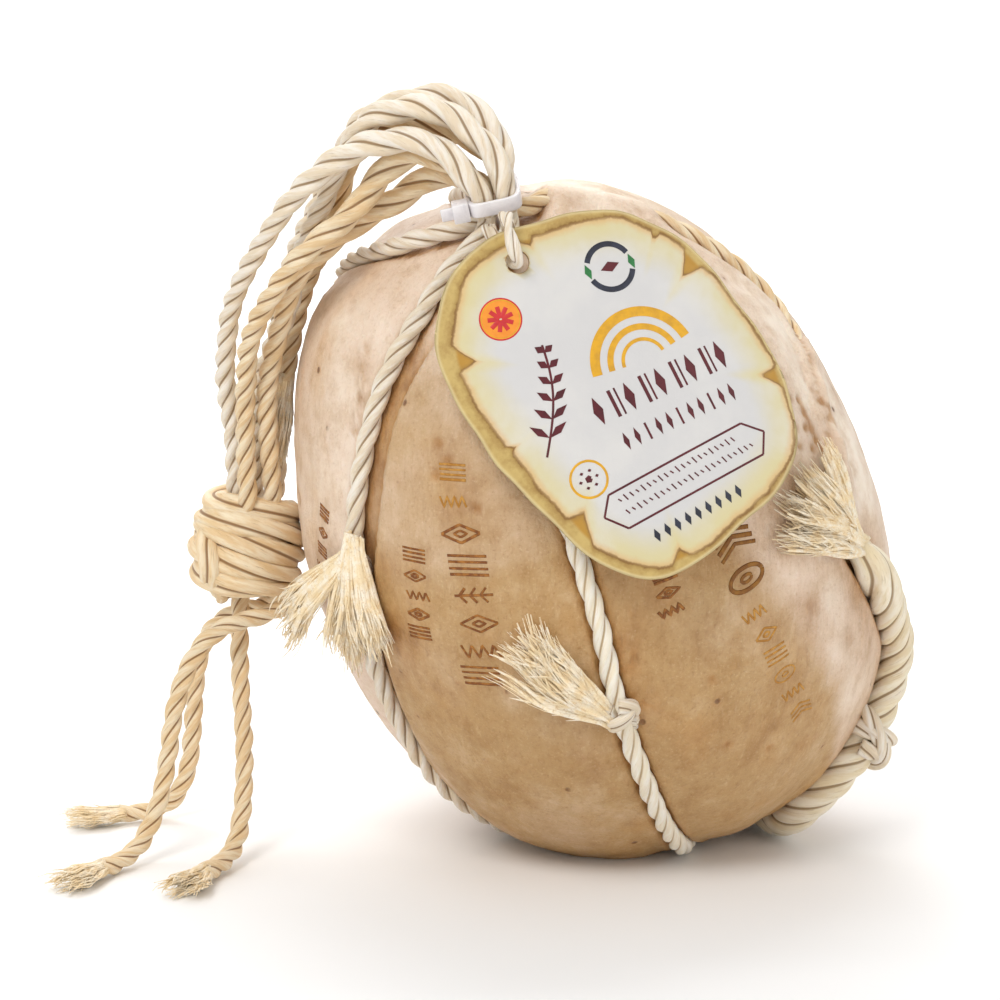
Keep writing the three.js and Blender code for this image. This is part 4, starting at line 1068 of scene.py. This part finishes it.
def press_cheese():
    """The rind: the plain form, pressed by its ropes and dented by hand. Its stains, painted shade and painted
    highlight follow the same measures.
    """
    bm = bmesh.new()
    bmesh.ops.create_cube(bm, size=2)
    bmesh.ops.subdivide_edges(bm, edges=bm.edges, cuts=CHEESE_CUTS, use_grid_fill=True)
    way = unit(np.tan(places(bm.verts) * math.pi / 4))
    azimuth, latitude = bearings(way)
    skin = skin_radius(azimuth, latitude)
    surface = BODY_CENTRE + way * skin[:, None]
    dents = 0.9 * bump_at(surface, 34) + 0.35 * bump_at(surface, 11, 5.0) + 0.16 * bump_at(surface, 4, 9.0)
    crinkle, fine = bump_at(surface * [1, 1, 0.6], 5.5, 3.0), bump_at(surface, 2.6, 12.0)
    below, aside, radius = nearest_rope(surface, way)
    past = aside - radius
    touching = smoothstep(below, -9.0, -5.0)
    doubled = radius > 4

    # The fold of skin over the right rope above its brush and the one by the tie, with wrinkles about them.
    from_right = from_rope("rope_right", azimuth, latitude)
    fold = between(latitude, 1, 8, 30, 38) * hump(from_right, 7.5)
    neck = between(latitude, 58, 65, 79, 83) * hump(from_right, 7)
    covered = np.maximum(fold, neck)
    bare = 1 - covered
    wrinkled = between(latitude, -2, 10, 29, 37) * np.exp(-((from_right / 17) ** 4))
    creased = hump(from_rope("rope_centre", azimuth, latitude) - 8, 5) * between(latitude, -14, 2, 24, 34)
    # The old seat of a rope that has slid to the left: a trench whose brown bed, partly stain and partly painted
    # shade, ends in a sharp lip.
    old_seat = from_rope("rope_left_front", azimuth, latitude)
    span = between(latitude, -20, 0, 66, 76)
    wide = 8 + 2.1 * hump(latitude - 38, 13)
    trench = smoothstep(old_seat, -2, 3) * (1 - smoothstep(old_seat, wide - 0.6, wide + 1.2)) * span
    pitted, scarred = (np.max([hump(degrees_from(way, *place), size) for place in spots], axis=0)
                       for spots, size in ((PITS, 0.85), (SCAR, 1.25)))

    reach = skin + dents * smoothstep(past, 0, 7) - 2.1 * trench + 0.6 * hump(old_seat - wide - 3, 2) * span
    reach = reach + 3.2 * hump(aside, 8) * doubled * smoothstep(-latitude, 16, 28)
    lips = 0.7 * hump(past - 1.6, 1.5) * touching
    reach = reach + lips * bare * (1 - smoothstep(old_seat, 0, 2) * span * (old_seat < 14))
    seated = skin - below - np.sqrt(np.clip(radius**2 - aside**2, 0, None))
    reach = np.where((past < 0) & (covered < 0.2), np.minimum(reach, seated), reach)
    reach = reach + neck * (5 + crown_lift(latitude) + 0.5 * crinkle)
    reach = reach + fold * (5.6 + 1.1 * crinkle) + wrinkled * (0.7 * crinkle + 0.35 * fine)
    reach = reach + creased * (0.45 * crinkle + 0.4 * fine)
    ridge = hump(from_right + 8.5, 4.2) * between(latitude, 26, 36, 64, 76)
    reach = reach + 1.4 * ridge * (aside > 0.5 * radius) * (1 - neck)
    reach = reach - 0.9 * pitted + scarred * (0.5 + 1.2 * fine)
    move_to(bm.verts, BODY_CENTRE + way * np.minimum(reach, floor_reach(way, 0))[:, None])

    # painted shade in the trench bed, darkest just inside its far edge, over the brown of the old seat
    brown_and_shade = trench * (0.45 + 0.5 * hump(old_seat - wide + 1.2, 1.5))
    # painted shade along and under the ropes where they sit on the rind
    brown_and_shade = brown_and_shade + (0.4 * hump(past, 1.5) + 0.9 * (past < 0)) * touching * bare
    # painted shade in the hollows of the fold, the wrinkles and the neck
    hollow = smoothstep(-crinkle - 0.5 * fine, 0.16, 0.5)
    brown_and_shade = brown_and_shade + (0.8 * np.maximum(fold, wrinkled) + 0.35 * neck) * hollow
    # a faint brown over the crease by the centre rope, and painted shade in its hollows
    brown_and_shade = brown_and_shade + creased * (0.18 + 0.6 * smoothstep(-crinkle - 0.8 * fine, 0.1, 0.45))
    # painted shade along the doubled rope where it lies on the rind
    brown_and_shade = brown_and_shade + (0.9 * hump(past, 1.3) + 0.4 * hump(past, 5)) * doubled
    brown_and_shade = brown_and_shade + 1.2 * pitted + 0.8 * scarred * smoothstep(-fine, -0.25, 0.2)
    brown_and_shade = brown_and_shade + patches(way, STAINS) * (0.75 + 0.5 * crinkle)
    brown_and_shade = brown_and_shade + patches(way, [(*mark[:2], 3.2, 0.22) for *_, marks in STAMPS for mark in marks])
    bloom_and_highlight = patches(way, BLOOM_AND_HIGHLIGHT) * (0.85 + 0.4 * crinkle)
    surface_tree = BVHTree.FromBMesh(bm)
    piece = finish_mesh(bm, "cheese_rind", RIND)
    for name, values in (("browning_and_shade", brown_and_shade), ("toning", toning(azimuth, latitude)), ("bloom_and_highlight", bloom_and_highlight)):
        layer = piece.data.attributes.new(name, "FLOAT", "POINT")
        layer.data.foreach_set("value", np.clip(values, 0, 1).astype(np.float32))
    add(piece, "rind", "cheese_body")
    return surface_tree


# ---- Marks on the rind and on the card -----------------------------------------------------------

STROKE_STEP = 0.7
CLEAR_OF_RIND = 14  # the height from which a stroke is dropped on to it
MARK_LIFT = 0.02  # how far a mark's strokes are lifted off the rind
MARK_PROUD, PRINT_PROUD = 0.09, 0.06  # half the height of strokes, in the rind and on the card


def draw_line(bm, points, width, surface, proud):
    """A flat stroke through points on a surface. surface(across, down, lift) says where they are."""
    x, y = evenly(np.array(points, float), STROKE_STEP).T
    tangent = unit(np.stack([np.gradient(x), np.gradient(y)], 1))
    line = surface(x, y, 0)
    across = surface(x - tangent[:, 1] * width / 2, y + tangent[:, 0] * width / 2, 0) - line
    out = (surface(x, y, 1) - line) * proud
    rolled(line, 6, lambda along, around: even(along), into=bm, axes=(across, out))


def ring_points(x, y, radius, start=0.0, end=TAU):
    turn = np.linspace(start, end, 33)
    return np.stack([x + radius * np.cos(turn), y + radius * np.sin(turn)], 1)


def turns_round(count):
    return np.linspace(0, TAU, count + 1)[:-1]


def rays(count, inner, outer):
    return [[(reach * math.cos(a), reach * math.sin(a)) for reach in (inner, outer)]
            for a in turns_round(count) + 0.26]


# Plain ornaments, each a few lines in a square from -1 to 1.
MOTIFS = {
    "chevrons": [[(-1, -1), (0, -0.2), (1, -1)], [(-1, -0.3), (0, 0.5), (1, -0.3)], [(-1, 0.4), (0, 1.2), (1, 0.4)]],
    "target": [ring_points(0, 0, 0.95), ring_points(0, 0, 0.3)],
    "comb": [[(-1, u + 0.12), (1, u - 0.12)] for u in (-1, -0.35, 0.35, 1)],
    "lozenges": [[(-1, 0), (0, 0.95), (1, 0), (0, -0.95), (-1, 0)], [(-0.35, 0), (0, 0.36), (0.35, 0), (0, -0.36),
                                                                    (-0.35, 0)]],
    "sun": [ring_points(0, 0, 0.34), *rays(8, 0.56, 1.0)],
    "peaks": [[(u, 0.75 * (-1) ** k) for k, u in enumerate(np.linspace(-1, 1, 8))]],
    "sprig": [[(-1, 0), (1, 0)], *[[(u, 0), (u + 0.34, v)] for u in (-0.75, -0.2, 0.35) for v in (-0.8, 0.8)]],
    "slot": [[(-1, -0.4), (1, 0.4)]],
}
# The stamped rows: ink, stroke width, half size up and across, then azimuth, latitude and motif of each mark.
STAMPS = [
    (GOLD_STAMP, 0.8, 2.2, 4.2, [(-32.6, 50, "comb"), (-32.9, 45.2, "peaks")]),
    (DARK_STAMP, 0.85, 2.9, 6.2, [(-31.8, 39.8, "lozenges"), (-31, 34.2, "comb"), (-30.9, 28.6, "sprig"),
                                 (-31, 23, "lozenges"), (-32, 17.2, "peaks"), (-33.4, 11.8, "comb")]),
    (DARK_STAMP, 0.8, 1.9, 4.0, [(-44.2, 35.6, "comb"), (-44.3, 31.8, "lozenges"), (-44.2, 28, "peaks"),
                                 (-44.6, 24.4, "lozenges"), (-45.2, 20.6, "comb")]),
    (DARK_STAMP, 0.85, 1.7, 3.0, [(-76.6, 35.6, "comb"), (-76.6, 31.8, "lozenges"), (-77.2, 28, "comb"),
                                  (-78, 24.2, "peaks")]),
    (BRONZE_STAMP, 1.35, 3.6, 6.4, [(25.4, 22, "chevrons"), (24.4, 14.4, "target")]),
    (DARK_STAMP, 0.9, 1.7, 3.8, [(8.7, 23.6, "comb"), (8.2, 20, "lozenges"), (7.4, 16.4, "peaks")]),
    (GOLD_STAMP, 0.65, 2.4, 4.0, [(22.7, 7.2, "peaks"), (23.4, 2.2, "lozenges"), (23.8, -2.8, "comb"),
                                  (24.2, -7.8, "target"), (24.8, -12.8, "peaks"), (25.6, -17.8, "chevrons")]),
    (DARK_STAMP, 1.8, 2.6, 1.2, [(-123.4, 56.5, "slot")]),
]


def mark_rind(surface_tree):
    """Generic burnt-in marks, sunk in the rind with their tops just level with it."""
    for ink, label in ((DARK_STAMP, "dark_marks"), (BRONZE_STAMP, "bronze_marks"), (GOLD_STAMP, "golden_marks")):
        bm = bmesh.new()
        rows = [(*row[1:4], *mark) for row in STAMPS if row[0] is ink for mark in row[4]]
        for width, half_up, half_across, azimuth, latitude, motif in rows:
            centre = on_skin(azimuth, latitude)
            up = unit(on_skin(azimuth, latitude + 1) - on_skin(azimuth, latitude - 1))
            right = unit(on_skin(azimuth + 1, latitude) - on_skin(azimuth - 1, latitude))
            normal = unit(np.cross(right, up))

            def surface(x, y, lift):
                starts = [Vector(centre + right * a + up * b + normal * CLEAR_OF_RIND) for a, b in zip(x, y)]
                spots = [surface_tree.ray_cast(start, Vector(-normal))[0] for start in starts]
                return np.array(spots) + normal * (lift + MARK_LIFT)

            for stroke in MOTIFS[motif]:
                points = [(u * half_across, v * half_up) for u, v in stroke]
                draw_line(bm, points, width * random.uniform(0.85, 1.15), surface, MARK_PROUD)
        add(finish_mesh(bm, label, ink), "rind")


# ---- Tie -----------------------------------------------------------------------------------------


def ease_edges(bm, offset, segments):
    sharp = [e for e in bm.edges if e.is_manifold and e.calc_face_angle() > SHARP]
    bmesh.ops.bevel(bm, geom=sharp, offset=offset, affect="EDGES", segments=segments, profile=0.5, material=-1)


def fasten_tie():
    """A nylon band in a rounded oblong, with its head and cut-off tail."""
    half = SLOT_PITCH / 2 + ROPE_RADIUS + TIE_GAP + TIE_WALL / 2
    back = half + SLOT_PITCH / 2
    hoop = 10  # radius of the round hoop that becomes the oblong
    bm = bmesh.new()
    start = [bm.verts.new((hoop + across * TIE_WALL / 2, 0, deep * TIE_HEIGHT / 2))
             for across, deep in ((-1, -1), (1, -1), (1, 1), (-1, 1))]
    edges = [bm.edges.new((start[i], start[(i + 1) % 4])) for i in range(4)]
    bmesh.ops.spin(bm, geom=start + edges, cent=(0, 0, 0), axis=(0, 0, 1), angle=TAU, steps=64, use_merge=True)
    for vert in bm.verts:
        reach = math.hypot(vert.co.x, vert.co.y)
        x, y, off = vert.co.x / reach, vert.co.y / reach, reach - hoop
        spread = (abs(x / (half + off)) ** 5 + abs(y / (back + off)) ** 5) ** (-1 / 5)
        vert.co = (x * spread, y * spread, vert.co.z)
    outer = half + TIE_WALL / 2
    for left, right, front, rear, tall in ((-outer - 4.4, -outer + 0.5, -back, 5.5 - back, TIE_HEIGHT + 1.4),
                                           (-outer - 8, -outer - 3, 1.6 - back, 2.8 - back, TIE_HEIGHT - 0.6)):
        cube = bmesh.ops.create_cube(bm, size=1)["verts"]
        bmesh.ops.scale(bm, vec=(right - left, rear - front, tall), verts=cube)
        bmesh.ops.translate(bm, vec=((left + right) / 2, (front + rear) / 2, 0), verts=cube)
    ease_edges(bm, 0.35, 3)
    move_to(bm.verts, [in_tie(v.co.x, v.co.y, v.co.z + TIE_RIDE) for v in bm.verts])
    add(finish_mesh(bm, "tie_band", NYLON), "tie", "cable_tie")


# ---- Tag -----------------------------------------------------------------------------------------

TAG_HOLE = np.array([-33.5, -81.7, 194.5])
TAG_DOWN = unit(np.array([0.447, -0.228, -0.865]))
TAG_FACE = unit(np.array([0.195, -0.918, 0.344]))
TAG_ACROSS = np.cross(TAG_FACE, TAG_DOWN)
TAG_MIDDLE, TAG_HALF = (12.4, 42.8), (45.3, 51.2)
TAG_POWER, TAG_SKEW, TAG_BEND, TAG_THICKNESS, TAG_HOLE_RADIUS = 2.62, 0.082, 200, 0.9, 3.4
INLAY_SINK, INLAY_PROUD = 0.1, 0.05  # how far the print's flat shapes reach into the card's face and stand off it
TAG_POINT = (1.86, 0.4, 0.2)  # the torn point at its foot: turn, width, reach


def tag_place(across, down, out):
    """A point of the bent card, counted from its hole."""
    turn = (np.asarray(across, float) - TAG_MIDDLE[0]) / TAG_BEND
    reach = TAG_BEND + np.asarray(out, float)
    ways = ((TAG_MIDDLE[0] + reach * np.sin(turn), TAG_ACROSS), (np.asarray(down, float), TAG_DOWN),
            (reach * np.cos(turn) - TAG_BEND, TAG_FACE))
    return TAG_HOLE + sum(np.multiply.outer(far, way) for far, way in ways)


def turn_from(turn, place):
    """How far turns are from a place round the card, from minus half a turn to half a turn."""
    return np.arctan2(np.sin(turn - place), np.cos(turn - place))


def tag_edge(turn):
    """How far the card's edge is from its middle."""
    total = np.abs(np.cos(turn) / TAG_HALF[0]) ** TAG_POWER + np.abs(np.sin(turn) / TAG_HALF[1]) ** TAG_POWER
    ragged = 0.006 * np.sin(9 * turn) + 0.004 * np.sin(17 * turn + 1)
    place, width, reach = TAG_POINT
    foot = reach * hump(turn_from(turn, place), width)
    return total ** (-1 / TAG_POWER) * (1 + TAG_SKEW * np.sin(2 * turn) + foot + ragged)


# Tears in the card's printed border: turn, half width of turn and depth.
CARD_TEARS = [(-2.6, 0.075, 6.5), (2.3, 0.1, 6), (1.72, 0.055, 4), (-0.54, 0.085, 7.5), (0.41, 0.065, 6),
              (-1.72, 0.05, 3), (3.0, 0.035, 2.4), (-0.85, 0.03, 2.6)]


def border_width(turn):
    """How far in from the card's edge its printed border reaches, in millimetres."""
    wide = 3.0 + 2.0 * np.cos(turn - 3.4) + 0.35 * np.sin(7 * turn) + 0.25 * np.sin(13 * turn + 1)
    return np.maximum(wide, 0.7)


def tear_depth(turn):
    """How much further in the tears reach."""
    return sum(depth * np.clip(1 - np.abs(turn_from(turn, place)) / half, 0, 1) for place, half, depth in CARD_TEARS)


def card_face(across, down, lift):
    return tag_place(across, down, TAG_THICKNESS + 0.03 + np.asarray(lift, float))


def cut_card():
    bm = bmesh.new()
    row = [bm.verts.new((r, 0, 0)) for r in (*np.linspace(0, 0.76, 14), *np.linspace(0.775, 1, 17))]
    spine = [bm.edges.new(pair) for pair in zip(row, row[1:])]
    bmesh.ops.spin(bm, geom=row + spine, cent=(0, 0, 0), axis=(0, 0, 1), angle=TAU, steps=300, use_merge=True)
    bmesh.ops.remove_doubles(bm, verts=bm.verts, dist=1e-5)
    raised = bmesh.ops.extrude_face_region(bm, geom=bm.faces[:])["geom"]
    for vert in (g for g in raised if isinstance(g, bmesh.types.BMVert)):
        vert.co.z = TAG_THICKNESS
    flat = places(bm.verts)
    share, turn = np.hypot(flat[:, 0], flat[:, 1]), np.arctan2(flat[:, 1], flat[:, 0])
    reach = tag_edge(turn)
    across, down = TAG_MIDDLE[0] + share * reach * np.cos(turn), TAG_MIDDLE[1] + share * reach * np.sin(turn)
    rim = (1 - share) * reach
    torn = rim - border_width(turn)
    for name, numbers in (("rim", rim), ("torn", torn), ("inset", torn - tear_depth(turn))):
        layer = bm.verts.layers.float.new(name)
        for vert, number in zip(bm.verts, numbers):
            vert[layer] = number
    move_to(bm.verts, tag_place(across, down, flat[:, 2]))
    ease_edges(bm, 0.25, 2)
    card = finish_mesh(bm, "tag", CARD)
    drill = bmesh.new()
    bmesh.ops.create_cone(drill, cap_ends=True, segments=40, radius1=TAG_HOLE_RADIUS, radius2=TAG_HOLE_RADIUS, depth=9)
    spin = Vector((0, 0, 1)).rotation_difference(Vector(TAG_FACE)).to_matrix()
    bmesh.ops.rotate(drill, matrix=spin, verts=drill.verts)
    bmesh.ops.translate(drill, vec=Vector(tag_place(0, 0, 0)), verts=drill.verts)
    drill = finish_mesh(drill, "drill", CARD)
    hole = card.modifiers.new("hole", "BOOLEAN")
    hole.operation, hole.object, hole.solver = "DIFFERENCE", drill, "EXACT"
    holed = evaluated_mesh(card)
    card.modifiers.clear()
    card.data = holed
    bpy.data.objects.remove(drill)
    add(card, "card", "tag_card")


def leaf(x, y, turn, length, width):
    """The outline of a pointed leaf or lozenge, as points round it."""
    c, s = math.cos(turn), math.sin(turn)
    outline = [(0, 0), (0.5 * length, width / 2), (length, 0), (0.5 * length, -width / 2)]
    return [(x + u * c - v * s, y + u * s + v * c) for u, v in outline]


def upright_leaf(x, y, length, width):
    return leaf(x, y, math.pi / 2, length, width)


def fill_shape(bm, outline):
    """A thin solid inlay with a straight-sided outline."""
    verts = [bm.verts.new((*point, 0)) for point in outline]
    solid = bmesh.ops.extrude_face_region(bm, geom=[bm.faces.new(verts)])["geom"]
    both = verts + [g for g in solid if isinstance(g, bmesh.types.BMVert)]
    spots = places(both)
    move_to(both, card_face(spots[:, 0], spots[:, 1], np.repeat([-INLAY_SINK, INLAY_PROUD], len(verts))))


def print_card():
    """Generic print on the card: seals, a sprig, arches, bands of lozenges and a long frame."""
    prints = {ink: bmesh.new() for ink in (SEAL_ORANGE, DARK_RED, BRIGHT_RED, MUSTARD, BLUE_BLACK, LEAF_GREEN)}

    def line(ink, points, width, lift=0.0):
        draw_line(prints[ink], points, width, lambda a, b, c: card_face(a, b, c + lift), PRINT_PROUD)

    def shape(ink, outline):
        fill_shape(prints[ink], outline)

    # an orange seal with a flower
    x, y = -12, 13
    shape(SEAL_ORANGE, ring_points(x, y, 5.9)[:-1])
    line(BRIGHT_RED, ring_points(x, y, 6.1), 0.5)
    line(MUSTARD, ring_points(x, y, 5.6), 0.5)
    for turn in turns_round(9):
        c, s = math.cos(turn), math.sin(turn)
        line(BRIGHT_RED, [(x + 0.4 * c, y + 0.4 * s), (x + 3.8 * c, y + 3.8 * s)], 1.3, 0.05)
    # a dark ring with two green leaves and a red lozenge
    x, y = 24.5, 12.5
    line(BLUE_BLACK, ring_points(x, y, 6.9, 0.5, 2.9), 1.7)
    line(BLUE_BLACK, ring_points(x, y, 6.9, 3.7, 6.0), 1.7)
    for turn in (3.3, 0.15):
        shape(LEAF_GREEN, upright_leaf(x + 6.9 * math.cos(turn), y + 6.9 * math.sin(turn) - 2.4, 4.8, 2.2))
    shape(DARK_RED, leaf(21.4, y, 0, 6.2, 3.2))
    # a dark red sprig
    stem = [(-18 + 13 * t + 3 * math.sin(3 * t), 55 - 30 * t) for t in np.linspace(0, 1, 14)]
    line(DARK_RED, stem, 0.7)
    for k in range(2, 13, 2):
        for turn in (-0.35, -2.2):
            shape(DARK_RED, leaf(*stem[k], turn, 7.5 - 0.35 * k, 2.3))
    # mustard arches
    for radius, width in ((15, 3.0), (10.4, 1.9), (6.6, 1.1)):
        line(MUSTARD, ring_points(21, 42, radius, math.pi * 1.04, math.pi * 1.96), width)
    # two bands of lozenges and bars
    for k in range(9):
        x = 1.5 + 5.2 * k
        if k % 2:
            line(DARK_RED, [(x, 45.2), (x, 53.6)], 1.1)
            line(DARK_RED, [(x + 1.9, 45.2), (x + 1.9, 53.6)], 0.6)
        else:
            shape(DARK_RED, upright_leaf(x, 45, 8.8, 3.1))
    for k in range(11):
        x = 5 + 3.6 * k
        if k % 3 == 2:
            line(DARK_RED, [(x, 58.2), (x, 63.4)], 0.7)
        else:
            shape(DARK_RED, upright_leaf(x, 58, 5.6, 1.7))
    # a small golden ring with a dot
    line(MUSTARD, ring_points(-10, 66, 5.4), 0.75)
    line(DARK_RED, ring_points(-10, 66, 0.6), 1.2)
    for turn in turns_round(6):
        shape(DARK_RED, leaf(-10.6 + 2.6 * math.cos(turn), 66 + 2.6 * math.sin(turn), 0, 1.2, 1.0))
    # a long frame with pointed ends and two rows of ticks
    corners = [(-11, 78), (-7, 72.6), (39, 70.4), (44.6, 75.4), (41, 81.4), (-6, 83.8), (-11, 78)]
    for pair in zip(corners, corners[1:]):
        line(DARK_RED, pair, 0.65)
    for row, (down, count) in enumerate(((75.4, 21), (79.4, 23))):
        for k in range(count):
            x = -5 + 1.95 * k + 0.6 * row
            y = down - 0.045 * (x + 6)
            tall = 0.5 + 0.25 * ((k * 5 + row) % 3)
            line(DARK_RED, [(x, y - tall), (x + 0.7, y + tall)], 0.45)
    # blue-black lozenges along the foot
    for k in range(9):
        x = 0.5 + 3.5 * k
        shape(BLUE_BLACK, upright_leaf(x, 87.4 - 0.045 * (x + 6), 4.2, 1.9))
    for ink, bm in prints.items():
        add(finish_mesh(bm, ink.name.replace(" ", "_").replace("-", "_"), ink, shade=False), "card")


# ---- Make everything -----------------------------------------------------------------------------

random.seed(7)
place_camera()
light_the_set()
lay_floor()
hang_bundle()
tie_harness()
tie_knots()
fray_brushes()
mark_rind(press_cheese())
fasten_tie()
cut_card()
print_card()
